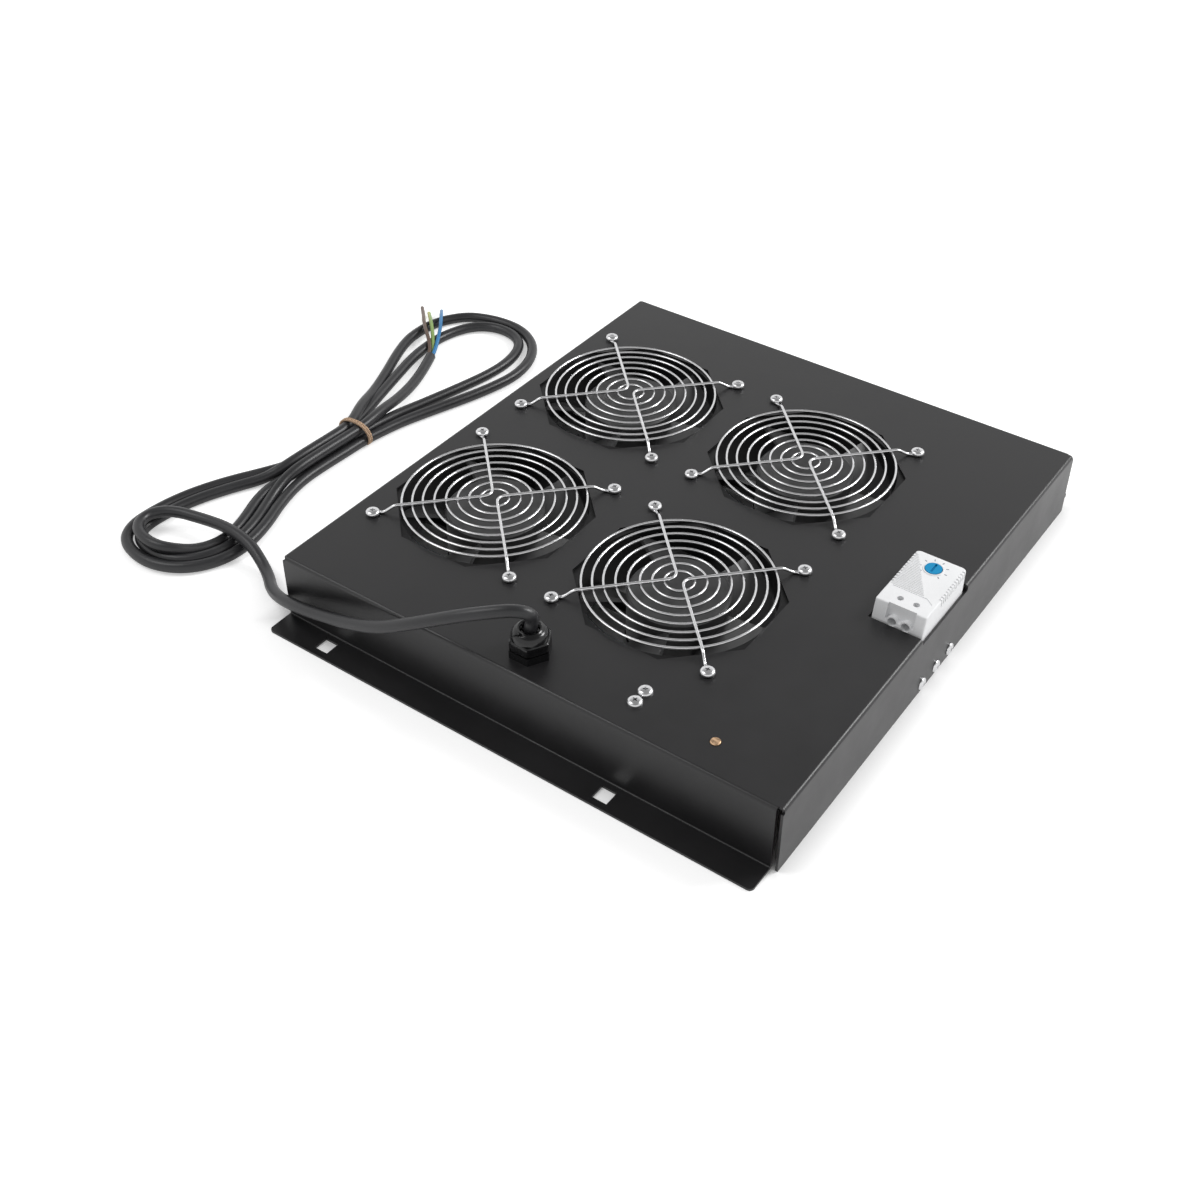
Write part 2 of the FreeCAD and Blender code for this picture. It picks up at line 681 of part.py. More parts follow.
def guard_shape():
    """Eight rings under two V wires, whose ends step down to eyelets on the deck."""
    half = (size("fan_size") - size("guard_screw_land")) / 2
    ring = size("ring_wire")
    wire = size("support_wire")
    lift = size("ring_lift")
    solids = []
    rings = int(size("guard_rings"))
    ring_pitch = (size("fan_size") / 2 - size("ring_land") - size("ring_first")) / (rings - 1)
    for k in range(rings):
        count = 16 + 4 * (k // 2)
        radius = size("ring_first") + k * ring_pitch
        solids.append(polygon_ring(radius, ring, lift, ring, count))
    level = lift + ring - size("support_sink") + wire / 2
    for side in (-1, 1):
        apex = FreeCAD.Vector(side * size("apex_offset"), 0, level)
        runs = []
        for back in (1, -1):
            eyelet = FreeCAD.Vector(side * half, back * half, wire / 2)
            inward = FreeCAD.Vector(apex.x - eyelet.x, apex.y - eyelet.y, 0).normalize()
            foot = eyelet + inward * (size("eyelet_radius") - 0.4)
            low = eyelet + inward * size("joggle_start")
            high = eyelet + inward * size("joggle_end")
            high.z = level
            near_apex = apex - inward * size("apex_bend")
            runs.append([foot, low, high, near_apex])
            ring_shape = polygon_ring((size("eyelet_radius") + size("screw_radius") + 0.2) / 2,
                                      size("eyelet_radius") - size("screw_radius") - 0.2, 0, wire, 8)
            ring_shape.translate(FreeCAD.Vector(eyelet.x, eyelet.y, 0))
            solids.append(ring_shape)
        solids.append(mitred_bar(runs[0] + runs[1][::-1], wire))
    return solids[0].fuse(solids[1:]).removeSplitter()


def build_guards():
    """The four finger guards, alike, each on its own fan."""
    shape = guard_shape()
    for number, across, back in fan_places():
        guard = doc.addObject("Part::Feature", f"finger_guard_{number}")
        guard.Label = f"finger_guard_{number}"
        guard.Shape = shape.copy()
        place(guard, across, back, "tray_height")
        parts.append(guard)


for number, across, back in fan_places():
    build_fan_frame(number, across, back)
    build_fan_stator(number, across, back)
    build_fan_shaft(number, across, back)
    build_fan_rotor(number, across, back)
build_guards()

# Two bearings in the bore of each stator
bearings = new_body("fan_bearings")
place(bearings, FAN_X, FAN_Y, f"{FAN_BOTTOM} + strut_thick + 1")
bearing_outline = new_sketch(bearings, "BearingOutline", "XY_Plane")
add_circle(bearing_outline, "0", "0", "bearing_radius - bearing_fit")
add_circle(bearing_outline, "0", "0", "shaft_radius + running_fit")
bearing = pad(bearings, bearing_outline, "Bearing", "bearing_length")
repeat_along(bearings, "BearingGrid", bearing, [
    ("Z_Axis", "stator_height - bearing_length - 2", 2),
    ("X_Axis", FAN_PITCH_ACROSS, 2),
    ("Y_Axis", FAN_PITCH_BACK, 2),
])


def pan_head_screw(body, name, shank_radius, length, head="head_radius", rise="head_height"):
    """A screw that stands on the body's origin plane with its shank downwards."""
    profile = new_sketch(body, f"{name}Profile", "XZ_Plane")
    add_polygon(profile, [
        ("0", f"-({length})"),
        (shank_radius, f"-({length})"),
        (shank_radius, "0"),
        (head, "0"),
        (f"{head} - head_taper", rise),
        ("0", rise),
    ])
    return turned(body, profile, name)


screws = new_body("guard_screws")
place(screws, f"{FAN_X} - {SCREW_PITCH} / 2", f"{FAN_Y} - {SCREW_PITCH} / 2", "tray_height + support_wire")
screw = pan_head_screw(screws, "GuardScrew", "screw_radius", "screw_length")
repeat_along(screws, "GuardScrewGrid", screw, [
    ("X_Axis", SCREW_PITCH, 2),
    ("Y_Axis", SCREW_PITCH, 2),
    ("X_Axis", FAN_PITCH_ACROSS, 2),
    ("Y_Axis", FAN_PITCH_BACK, 2),
])

# Thermostat: a moulded housing with a sloping front, a dial in a recess and two screw wells
THERM_TOP = "(tray_height + therm_proud)"
housing = new_body("thermostat_housing")
side_view = new_sketch(housing, "HousingSide", "YZ_Plane", THERM_LEFT)
add_polygon(side_view, [
    ("therm_back", "therm_bottom"),
    ("therm_back", THERM_TOP),
    ("therm_front_top", THERM_TOP),
    ("therm_front", "tray_height"),
    ("therm_front", "therm_bottom"),
])
shell = pad(housing, side_view, "HousingBlock", "therm_width")
right = half_width - size("therm_edge")
left = right - size("therm_width")
shell = fillet(housing, shell, "HousingCorners", "therm_corner",
               edges_along("z", x=left, y=size("therm_back")), edges_along("z", x=right, y=size("therm_back")))
entry = new_sketch(housing, "WireEntry", "XZ_Plane", "-therm_front + 1")
add_rectangle(entry, f"{THERM_LEFT} + entry_inset", f"{THERM_LEFT} + entry_inset + entry_width",
              f"{THERM_TOP} - entry_height", f"{THERM_TOP} + 1")
pocket(housing, entry, "WireEntryCut", "entry_depth - (therm_front_top - therm_front) + 1", along_normal=False)
wire_holes = new_sketch(housing, "WireHoles", "XZ_Plane", "-therm_front + 1")
for k in (-1, 1):
    add_circle(wire_holes, f"{THERM_LEFT} + entry_inset + entry_width / 2 + {k} * entry_hole_pitch / 2",
               f"{THERM_TOP} - entry_height - entry_hole_sink", "entry_hole_radius")
pocket(housing, wire_holes, "WireHoleCuts", "entry_hole_depth + 1", along_normal=False)
vents = new_sketch(housing, "VentSlits", "XY_Plane", f"{THERM_TOP} + 1")
for edge in (THERM_LEFT, f"({THERM_LEFT} + therm_width)"):
    add_rectangle(vents, f"{edge} - vent_cut", f"{edge} + vent_cut",
                  "vent_first - vent_width / 2", "vent_first + vent_width / 2")
vent_cut = pocket(housing, vents, "VentSlitCuts", "vent_height + 1", along_normal=False)
repeat_along(housing, "VentRow", vent_cut, [("Y_Axis", "vent_pitch", int(size("vent_count")))])
wells = new_sketch(housing, "ScrewWells", "XY_Plane", f"{THERM_TOP} + 1")
for k in (0, 1):
    add_circle(wells, f"{THERM_LEFT} + terminal_inset + {k} * terminal_pitch_top", "terminal_row", "terminal_hole_radius")
pocket(housing, wells, "ScrewWellCuts", "terminal_hole_depth + 1", along_normal=False)
dial_seat = new_sketch(housing, "DialSeat", "XY_Plane", f"{THERM_TOP} + 1")
add_circle(dial_seat, f"{THERM_LEFT} + dial_inset", "dial_back", "dial_radius + dial_gap")
pocket(housing, dial_seat, "DialSeatCut", "dial_sunk + dial_gap + 1", along_normal=False)
stem_bore = new_sketch(housing, "StemBore", "XY_Plane", f"{THERM_TOP} + 1")
add_circle(stem_bore, f"{THERM_LEFT} + dial_inset", "dial_back", "stem_radius + running_fit")
pocket(housing, stem_bore, "StemBoreCut", "dial_sunk + stem_length + dial_gap + 1", along_normal=False)
step = new_sketch(housing, "StepLine", "XY_Plane", f"{THERM_TOP} + 1")
add_rectangle(step, f"{THERM_LEFT} + step_inset", f"{THERM_LEFT} + step_inset + step_length", "step_row", "step_row + step_width")
pocket(housing, step, "StepLineCut", "step_depth + 1", along_normal=False)

dial = new_body("thermostat_dial")
place(dial, f"{THERM_LEFT} + dial_inset", "dial_back", f"{THERM_TOP} - dial_sunk")
knob = new_sketch(dial, "Knob", "XZ_Plane")
add_polygon(knob, [
    ("0", "-stem_length"),
    ("stem_radius", "-stem_length"),
    ("stem_radius", "0"),
    ("dial_radius", "0"),
    ("dial_radius", "dial_height"),
    ("0", "dial_height"),
])
turned(dial, knob, "KnobTurned")
pointer = new_sketch(dial, "PointerSlot", "XY_Plane", "dial_height + 1")
add_rectangle(pointer, "-dial_slot_width / 2", "dial_slot_width / 2", "-0.7 * dial_radius", "0.85 * dial_radius")
pocket(dial, pointer, "PointerSlotCut", "dial_slot_depth + 1", along_normal=False)

wires_in = new_body("thermostat_terminal_screws")
place(wires_in, f"{THERM_LEFT} + terminal_inset", "terminal_row", f"{THERM_TOP} - terminal_hole_depth")
wire_screw = new_sketch(wires_in, "TerminalScrew", "XY_Plane")
add_circle(wire_screw, "0", "0", "terminal_screw_radius")
plug = pad(wires_in, wire_screw, "TerminalScrewPad", "terminal_screw_height")
repeat_along(wires_in, "TerminalScrewPair", plug, [("X_Axis", "terminal_pitch_top", 2)])

# Bracket on the right wall, with a tab as wide as a mounting rail, and the clip that hooks it
RAIL_LOW = "rail_middle - rail_width / 2"
RAIL_HIGH = "rail_middle + rail_width / 2"
WALL_FACE = f"({HALF_WIDTH} - sheet_thick)"
bracket = new_body("thermostat_bracket")
leg = new_sketch(bracket, "Leg", "XZ_Plane", "-rail_middle")
add_rectangle(leg, f"{WALL_FACE} - sheet_thick", WALL_FACE, "leg_bottom", "rail_top")
pad(bracket, leg, "LegPad", "leg_length", both=True)
tab = new_sketch(bracket, "Tab", "XZ_Plane", "-rail_middle")
add_rectangle(tab, THERM_LEFT, f"{WALL_FACE} - sheet_thick / 2", "rail_top - sheet_thick", "rail_top")
pad(bracket, tab, "TabPad", "rail_width", both=True)
leg_holes = new_sketch(bracket, "LegHoles", "YZ_Plane", f"{WALL_FACE} - 2 * sheet_thick")
for k in (-1, 0, 1):
    add_circle(leg_holes, f"rail_middle + {k} * {LEG_PITCH}", "bracket_screw_level",
               "screw_radius + hole_clearance")
pocket(bracket, leg_holes, "LegHoleCuts", "3 * sheet_thick")

clip = new_body("thermostat_clip")
hooks = new_sketch(clip, "ClipSide", "YZ_Plane", f"{THERM_LEFT} + (therm_width - clip_width) / 2")
TAB_UNDER = "rail_top - sheet_thick - clip_gap"
add_polygon(hooks, [
    (f"{RAIL_LOW} - clip_wall", "therm_bottom"),
    (f"{RAIL_LOW} - clip_wall", f"{TAB_UNDER} - clip_drop"),
    (f"{RAIL_LOW} + clip_hook", f"{TAB_UNDER} - clip_drop"),
    (f"{RAIL_LOW} + clip_hook", TAB_UNDER),
    (f"{RAIL_LOW} - clip_gap", TAB_UNDER),
    (f"{RAIL_LOW} - clip_gap", "rail_top"),
    (f"{RAIL_HIGH} + clip_gap", "rail_top"),
    (f"{RAIL_HIGH} + clip_gap", TAB_UNDER),
    (f"{RAIL_HIGH} - clip_hook", TAB_UNDER),
    (f"{RAIL_HIGH} - clip_hook", f"{TAB_UNDER} - clip_drop"),
    (f"{RAIL_HIGH} + clip_wall", f"{TAB_UNDER} - clip_drop"),
    (f"{RAIL_HIGH} + clip_wall", "therm_bottom"),
])
pad(clip, hooks, "ClipPad", "clip_width")

bracket_screws = new_body("bracket_screws")
place(bracket_screws, HALF_WIDTH, f"rail_middle - {LEG_PITCH}", "bracket_screw_level")
shank = new_sketch(bracket_screws, "SideShank", "YZ_Plane")
add_circle(shank, "0", "0", "screw_radius")
side_screw = pad(bracket_screws, shank, "SideShankPad", "head_height / 2", behind="bracket_screw_length")
first_row = repeat_along(bracket_screws, "SideShanks", side_screw, [("Y_Axis", LEG_PITCH, 3)])
head = new_sketch(bracket_screws, "SideHead", "YZ_Plane")
add_circle(head, "0", "0", "head_radius")
side_head = pad(bracket_screws, head, "SideHeadPad", "head_height")
repeat_along(bracket_screws, "SideHeads", side_head, [("Y_Axis", LEG_PITCH, 3)])

bracket_nuts = new_body("bracket_nuts")
place(bracket_nuts, f"{WALL_FACE} - sheet_thick - nut_thick", f"rail_middle - {LEG_PITCH}",
      "bracket_screw_level")
nut_outline = new_sketch(bracket_nuts, "BracketNut", "YZ_Plane")
add_hexagon(nut_outline, "0", "0", "nut_flats")
add_circle(nut_outline, "0", "0", "screw_radius + screw_hole_gap")
bracket_nut = pad(bracket_nuts, nut_outline, "BracketNutPad", "nut_thick")
repeat_along(bracket_nuts, "BracketNutRow", bracket_nut, [("Y_Axis", LEG_PITCH, 3)])

# Terminal block under the deck: three poles in a row, with its two screws between the poles
BLOCK_BOTTOM = f"({DECK_UNDER} - block_height)"
block = new_body("terminal_block")
place(block, "block_across", BLOCK_MIDDLE, BLOCK_BOTTOM)
base = new_sketch(block, "BlockOutline", "XY_Plane")
add_rectangle(base, "-block_width / 2", "block_width / 2", "-block_length / 2", "block_length / 2")
pad(block, base, "BlockPad", "block_height")
grooves = new_sketch(block, "BlockGrooves", "XY_Plane")
for end in (-1, 1):
    for pole in (-1, 1):
        add_rectangle(grooves, f"{end} * block_width / 2 - groove_depth", f"{end} * block_width / 2 + groove_depth",
                      f"{pole} * pole_pitch / 2 - groove_width / 2", f"{pole} * pole_pitch / 2 + groove_width / 2")
pocket(block, grooves, "BlockGrooveCuts", "block_height")
pole_bores = new_sketch(block, "PoleBores", "YZ_Plane", "-block_width")
for pole in (-1, 0, 1):
    add_circle(pole_bores, f"{pole} * pole_pitch", "pole_level", "clamp_radius + gland_fit")
pocket(block, pole_bores, "PoleBoreCuts", "2 * block_width")
block_holes = new_sketch(block, "BlockHoles", "XY_Plane")
for pole in (-1, 1):
    add_circle(block_holes, "0", f"{pole} * pole_pitch / 2", "block_screw_radius + screw_hole_gap")
pocket(block, block_holes, "BlockHoleCuts", "block_height")
key_holes = new_sketch(block, "KeyHoles", "XY_Plane")
for end in (-1, 1):
    for pole in (-1, 0, 1):
        add_circle(key_holes, f"{end} * clamp_screw_offset", f"{pole} * pole_pitch", "clamp_screw_radius + hole_clearance")
pocket(block, key_holes, "KeyHoleCuts", "pole_level")

clamps = new_body("terminal_clamps")
place(clamps, "block_across", f"{BLOCK_MIDDLE} - pole_pitch", f"{BLOCK_BOTTOM} + pole_level")
tube_end = new_sketch(clamps, "ClampTube", "YZ_Plane")
add_circle(tube_end, "0", "0", "clamp_radius")
add_circle(tube_end, "0", "0", "clamp_bore")
clamp_tube = pad(clamps, tube_end, "ClampPad", "block_width - 2 * clamp_inset", both=True)
clamp_row = repeat_along(clamps, "ClampRow", clamp_tube, [("Y_Axis", "pole_pitch", 3)])
tapped = new_sketch(clamps, "ClampTaps", "XY_Plane", "-clamp_radius - 1")
for end in (-1, 1):
    for pole in range(3):
        add_circle(tapped, f"{end} * clamp_screw_offset", f"{pole} * pole_pitch", "clamp_screw_radius + running_fit")
pocket(clamps, tapped, "ClampTapCuts", "clamp_radius + 1")

clamp_screws = new_body("terminal_clamp_screws")
place(clamp_screws, "block_across - clamp_screw_offset", f"{BLOCK_MIDDLE} - pole_pitch",
      f"{BLOCK_BOTTOM} + pole_level - clamp_bore")
grub = new_sketch(clamp_screws, "ClampScrew", "XY_Plane")
add_circle(grub, "0", "0", "clamp_screw_radius")
grub_pad = pad(clamp_screws, grub, "ClampScrewPad", "clamp_bore / 2", behind="clamp_screw_length")
repeat_along(clamp_screws, "ClampScrewGrid", grub_pad, [
    ("X_Axis", "2 * clamp_screw_offset", 2),
    ("Y_Axis", "pole_pitch", 3),
])

block_screws = new_body("terminal_block_screws")
place(block_screws, "block_across", f"{BLOCK_MIDDLE} - pole_pitch / 2", "tray_height")
block_screw = pan_head_screw(block_screws, "BlockScrew", "block_screw_radius",
                             "sheet_thick + block_height + block_screw_tail")
repeat_along(block_screws, "BlockScrewPair", block_screw, [("Y_Axis", "pole_pitch", 2)])

block_nuts = new_body("terminal_block_nuts")
place(block_nuts, "block_across", f"{BLOCK_MIDDLE} - pole_pitch / 2", f"{BLOCK_BOTTOM} - block_nut_thick")
small_nut = new_sketch(block_nuts, "BlockNut", "XY_Plane")
add_hexagon(small_nut, "0", "0", "block_nut_flats")
add_circle(small_nut, "0", "0", "block_screw_radius + screw_hole_gap")
block_nut = pad(block_nuts, small_nut, "BlockNutPad", "block_nut_thick")
repeat_along(block_nuts, "BlockNutPair", block_nut, [("Y_Axis", "pole_pitch", 2)])

# Earth stud with a locking nut, two washers and a clamping nut
stud = new_body("earth_stud")
place(stud, STUD_X, STUD_Y, "tray_height + stud_proud - stud_length")
rod = new_sketch(stud, "StudOutline", "XY_Plane")
add_circle(rod, "0", "0", "stud_radius")
stud_rod = pad(stud, rod, "StudRod", "stud_length")
chamfer(stud, stud_rod, "StudChamfers", "stud_chamfer", circles_at(0, size("stud_radius")),
        circles_at(size("stud_length"), size("stud_radius")))

stud_nuts = new_body("earth_nuts")
place(stud_nuts, STUD_X, STUD_Y, f"{DECK_UNDER} - stud_nut_thick")
stud_nut_outline = new_sketch(stud_nuts, "StudNut", "XY_Plane")
add_hexagon(stud_nut_outline, "0", "0", "stud_nut_flats")
add_circle(stud_nut_outline, "0", "0", "stud_radius + screw_hole_gap")
pad(stud_nuts, stud_nut_outline, "StudNutUpper", "stud_nut_thick")
lower_outline = new_sketch(stud_nuts, "StudNutUnder", "XY_Plane", "-2 * washer_thick")
add_hexagon(lower_outline, "0", "0", "stud_nut_flats")
add_circle(lower_outline, "0", "0", "stud_radius + screw_hole_gap")
lower_nut = pad(stud_nuts, lower_outline, "StudNutLower", "stud_nut_thick")
lower_nut.Reversed = True

washers = new_body("earth_washers")
place(washers, STUD_X, STUD_Y, f"{DECK_UNDER} - stud_nut_thick - 2 * washer_thick")
washer_outline = new_sketch(washers, "Washer", "XY_Plane")
add_circle(washer_outline, "0", "0", "washer_radius")
add_circle(washer_outline, "0", "0", "stud_radius + screw_hole_gap")
washer = pad(washers, washer_outline, "WasherPad", "washer_thick * 2")

# Cable gland: body through the deck, seal and dome nut above it, locknut below it
gland = new_body("gland_body")
place(gland, "gland_across", GLAND_Y, "tray_height")
collar = new_sketch(gland, "GlandCollar", "XY_Plane")
add_hexagon(collar, "0", "0", "gland_flats")
pad(gland, collar, "GlandCollarPad", "gland_collar")
neck = new_sketch(gland, "GlandNeck", "XY_Plane")
add_circle(neck, "0", "0", "gland_neck_radius")
pad(gland, neck, "GlandNeckPad", "gland_collar + gland_neck_height")
thread = new_sketch(gland, "GlandThread", "XY_Plane")
add_circle(thread, "0", "0", "gland_thread_radius")
tail = pad(gland, thread, "GlandThreadPad", "gland_tail")
tail.Reversed = True
gland_bore = new_sketch(gland, "GlandBore", "XY_Plane", "-gland_tail - 1")
add_circle(gland_bore, "0", "0", "cord_radius + hole_clearance")
pocket(gland, gland_bore, "GlandBoreCut", "gland_tail + gland_collar + gland_neck_height + 2")

dome = new_body("gland_dome_nut")
place(dome, "gland_across", GLAND_Y, "tray_height + gland_collar + dome_gap")
dome_skirt = new_sketch(dome, "DomeHexagon", "XY_Plane")
add_hexagon(dome_skirt, "0", "0", "gland_flats")
pad(dome, dome_skirt, "DomeHexagonPad", "dome_hex")
crown_side = new_sketch(dome, "DomeSide", "XZ_Plane")
add_polygon(crown_side, [
    ("0", "0"),
    ("gland_flats / 2", "0"),
    ("gland_flats / 2", "dome_hex"),
    ("dome_top_radius + 2", "dome_height - 1.6"),
    ("dome_top_radius", "dome_height"),
    ("0", "dome_height"),
])
turned(dome, crown_side, "DomeTurned")
inside = new_sketch(dome, "DomeInside", "XZ_Plane")
SEAL_TOP = "gland_neck_height + seal_height"
add_polygon(inside, [
    ("0", "-1"),
    ("gland_neck_radius + gland_fit", "-1"),
    ("gland_neck_radius + gland_fit", "gland_neck_height - dome_gap"),
    ("dome_top_radius + seal_gap", SEAL_TOP),
    ("cord_radius + hole_clearance", SEAL_TOP),
    ("dome_top_radius - dome_lip", "dome_height"),
    ("dome_top_radius - dome_lip", "dome_height + 1"),
    ("0", "dome_height + 1"),
])
turned(dome, inside, "DomeInsideCut", cut=True)

seal = new_body("gland_seal")
place(seal, "gland_across", GLAND_Y, "tray_height + gland_collar + gland_neck_height")
seal_side = new_sketch(seal, "SealSide", "XZ_Plane")
add_polygon(seal_side, [
    ("cord_radius + seal_gap", "0"),
    ("gland_neck_radius - seal_gap", "0"),
    ("dome_top_radius - seal_gap", "seal_height"),
    ("cord_radius + seal_gap", "seal_height"),
])
turned(seal, seal_side, "SealTurned")

locknut = new_body("gland_locknut")
place(locknut, "gland_across", GLAND_Y, f"{DECK_UNDER} - locknut_thick")
locknut_outline = new_sketch(locknut, "LocknutOutline", "XY_Plane")
add_hexagon(locknut_outline, "0", "0", "gland_flats")
add_circle(locknut_outline, "0", "0", "gland_thread_radius + gland_fit")
pad(locknut, locknut_outline, "LocknutPad", "locknut_thick")


def rounded_path(points, closed=False):
    """Straight runs joined by tangent arcs, each as large as its two shorter runs allow."""
    count = len(points)
    bends = range(count) if closed else range(1, count - 1)
    starts = {}
    ends = {}
    radii = []
    arcs = {}
    for k in bends:
        before = points[k - 1] - points[k]
        after = points[(k + 1) % count] - points[k]
        turn = math.pi - before.getAngle(after)
        tangent = 0.45 * min(before.Length, after.Length)
        radii.append(tangent / math.tan(turn / 2))
        first = points[k] + before.normalize() * tangent
        last = points[k] + after.normalize() * tangent
        bisector = (before + after).normalize()
        middle = points[k] + bisector * (radii[-1] / math.cos(turn / 2) - radii[-1])
        arcs[k] = Part.Arc(first, middle, last).toShape()
        starts[k] = first
        ends[k] = last
    edges = []
    last_leg = count if closed else count - 1
    for k in range(last_leg):
        following = (k + 1) % count
        begin = ends.get(k, points[k])
        finish = starts.get(following, points[following])
        edges.append(Part.LineSegment(begin, finish).toShape())
        if following in arcs:
            edges.append(arcs[following])
    return Part.Wire(edges), radii


def tube(points, radius, name):
    """A round tube along a rounded path."""
    wire, radii = rounded_path(points)
    section = Part.Wire(Part.Circle(points[0], points[1] - points[0], radius).toShape())
    shape = wire.makePipeShell([section], True, False)
    expected = math.pi * radius ** 2 * wire.Length
    print(name, "radii", [round(value, 1) for value in radii],
          "volume share", round(shape.Volume / expected, 4))
    return shape


def add_part(name, shape):
    """A sub-part whose shape is given by its own function."""
    item = doc.addObject("Part::Feature", name)
    item.Label = name
    item.Shape = shape
    item.Placement = FreeCAD.Placement()
    parts.append(item)


def vectors(points):
    """Points of a route as vectors."""
    return [FreeCAD.Vector(*point) for point in points]


GLAND = (size("gland_across"), size("gland_inset") - half_depth)
LEAD = vectors([
    (*GLAND, size("tray_height") + size("cord_start")),
    (*GLAND, 64.0),
    (-0.5, -168.5, 71.5),
    (-2.5, -174.5, 77.5),
    (-9.5, -180.0, 79.5),
    (-19.0, -184.5, 77.5),
    (-34.0, -190.5, 70.0),
    (-58.0, -196.0, 54.0),
    (-85.0, -199.5, 36.0),
    (-122.0, -195.5, 26.0),
    (-158.0, -194.2, 20.0),
    (-183.0, -185.2, 11.0),
    (-201.0, -171.0, 4.2),
    (-222.0, -162.0, 3.9),
    (-244.0, -163.0, 3.8),
])

HANK = vectors([
    (-280, -20, 0), (-290, 20, 0), (-309, 62, 0), (-320, 106, 0), (-302, 148, 0), (-262, 155, 0),
    (-224, 128, 0), (-216, 78, 0), (-236, 26, 0), (-246, -26, 0), (-254, -72, 0), (-238, -132, 0),
    (-236, -178, 0), (-266, -204, 0), (-304, -198, 0), (-308, -150, 0), (-282, -96, 0), (-272, -56, 0),
])


def build_hank():
    """The hank as one solid: a band that follows its outline, two cords high from the waist on."""
    thick_cord = 2 * size("cord_radius")
    outline, _ = rounded_path(HANK, closed=True)
    face = Part.Face(outline)
    holes = face.makeOffset2D(-size("hank_band"))
    band = face.cut(holes)
    low = band.extrude(FreeCAD.Vector(0, 0, thick_cord))
    high = band.extrude(FreeCAD.Vector(0, 0, 2 * thick_cord))
    bound_box = band.BoundBox
    half = Part.makeBox(bound_box.XLength + 2, size("hank_waist") - bound_box.YMin + 1, 4 * thick_cord,
                        FreeCAD.Vector(bound_box.XMin - 1, bound_box.YMin - 1, -1))
    hank = low.fuse(high.common(half)).removeSplitter()
    gap = size("tie_gap")
    groove = tie_ring(gap)
    hank = hank.cut(groove)
    return hank.Solids[0] if len(hank.Solids) == 1 else hank


def tie_ring(gap):
    """The tie round the waist of the hank, or its clearance when a gap is given."""
    thick_tie = size("tie_thick")
    tall = 4 * size("cord_radius")
    length = size("tie_length")
    width = size("tie_width")
    left_end = size("tie_left")
    row_start = size("tie_row") - width / 2
    outer = Part.makeBox(length + 2 * gap, width + 2 * gap, tall + 2 * gap,
                         FreeCAD.Vector(left_end - gap, row_start - gap, -gap))
    inner = Part.makeBox(length - 2 * thick_tie - 2 * gap, width + 4 * gap, tall - 2 * thick_tie - 2 * gap,
                         FreeCAD.Vector(left_end + thick_tie + gap, row_start - 2 * gap, thick_tie + gap))
    return outer.cut(inner)


hank_shape = build_hank()
add_part("cord_hank", hank_shape)
add_part("cord_tie", tie_ring(0))
add_part("cord_tube", tube(LEAD, size("cord_radius"), "cord_tube").cut(hank_shape).Solids[0])

END = vectors([
    (-262.0, -20.0, 3.8), (-261.0, -2.0, 3.8), (-266.0, 21.0, 3.8), (-273.0, 44.0, 3.8),
    (-280.5, 66.0, 3.8), (-288.0, 82.5, 3.8),
])
add_part("cord_end", tube(END, size("cord_radius"), "cord_end").cut(hank_shape).Solids[0])

CORES = {
    "core_brown": [(-289.41, 81.97, 4.65), (-292.1, 87.1, 5.4), (-298.5, 93.5, 9.4), (-309.0, 102.0, 10.3),
                   (-320.0, 112.5, 9.3), (-331.0, 124.5, 5.2), (-342.0, 135.5, 2.2)],
    "core_green_yellow": [(-288.04, 82.59, 2.15), (-290.4, 87.9, 3.0), (-297.0, 96.5, 9.0), (-306.5, 106.5, 10.3),
                          (-317.5, 117.5, 9.2), (-332.0, 132.0, 2.4)],
    "core_blue": [(-286.67, 83.21, 4.65), (-288.9, 88.9, 5.4), (-294.5, 99.5, 9.2), (-302.0, 111.0, 10.3),
                  (-311.5, 123.0, 10.1), (-319.5, 132.5, 6.6), (-326.5, 140.5, 2.2)],
}
for name, points in CORES.items():
    add_part(name, tube(vectors(points), size("core_radius"), name))

doc.recompute()

for item in doc.Objects:
    for word in ("Invalid", "Error"):
        if word in item.State:
            raise RuntimeError(f"{item.Name} is {item.State}")
for item in parts:
    if item.Shape.isNull() or not item.Shape.isValid():
        raise RuntimeError(f"{item.Label} has no valid shape")

os.makedirs("parts", exist_ok=True)
for item in parts:
    item.Shape.exportStep(f"parts/{item.Label}.step")
    print(f"{item.Label}: {len(item.Shape.Solids)} solid(s), {item.Shape.Volume:.0f} mm3")
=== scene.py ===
import json
import logging
import math
from dataclasses import dataclass, field
from enum import Enum

import bmesh
import bpy
from mathutils import Matrix, Vector

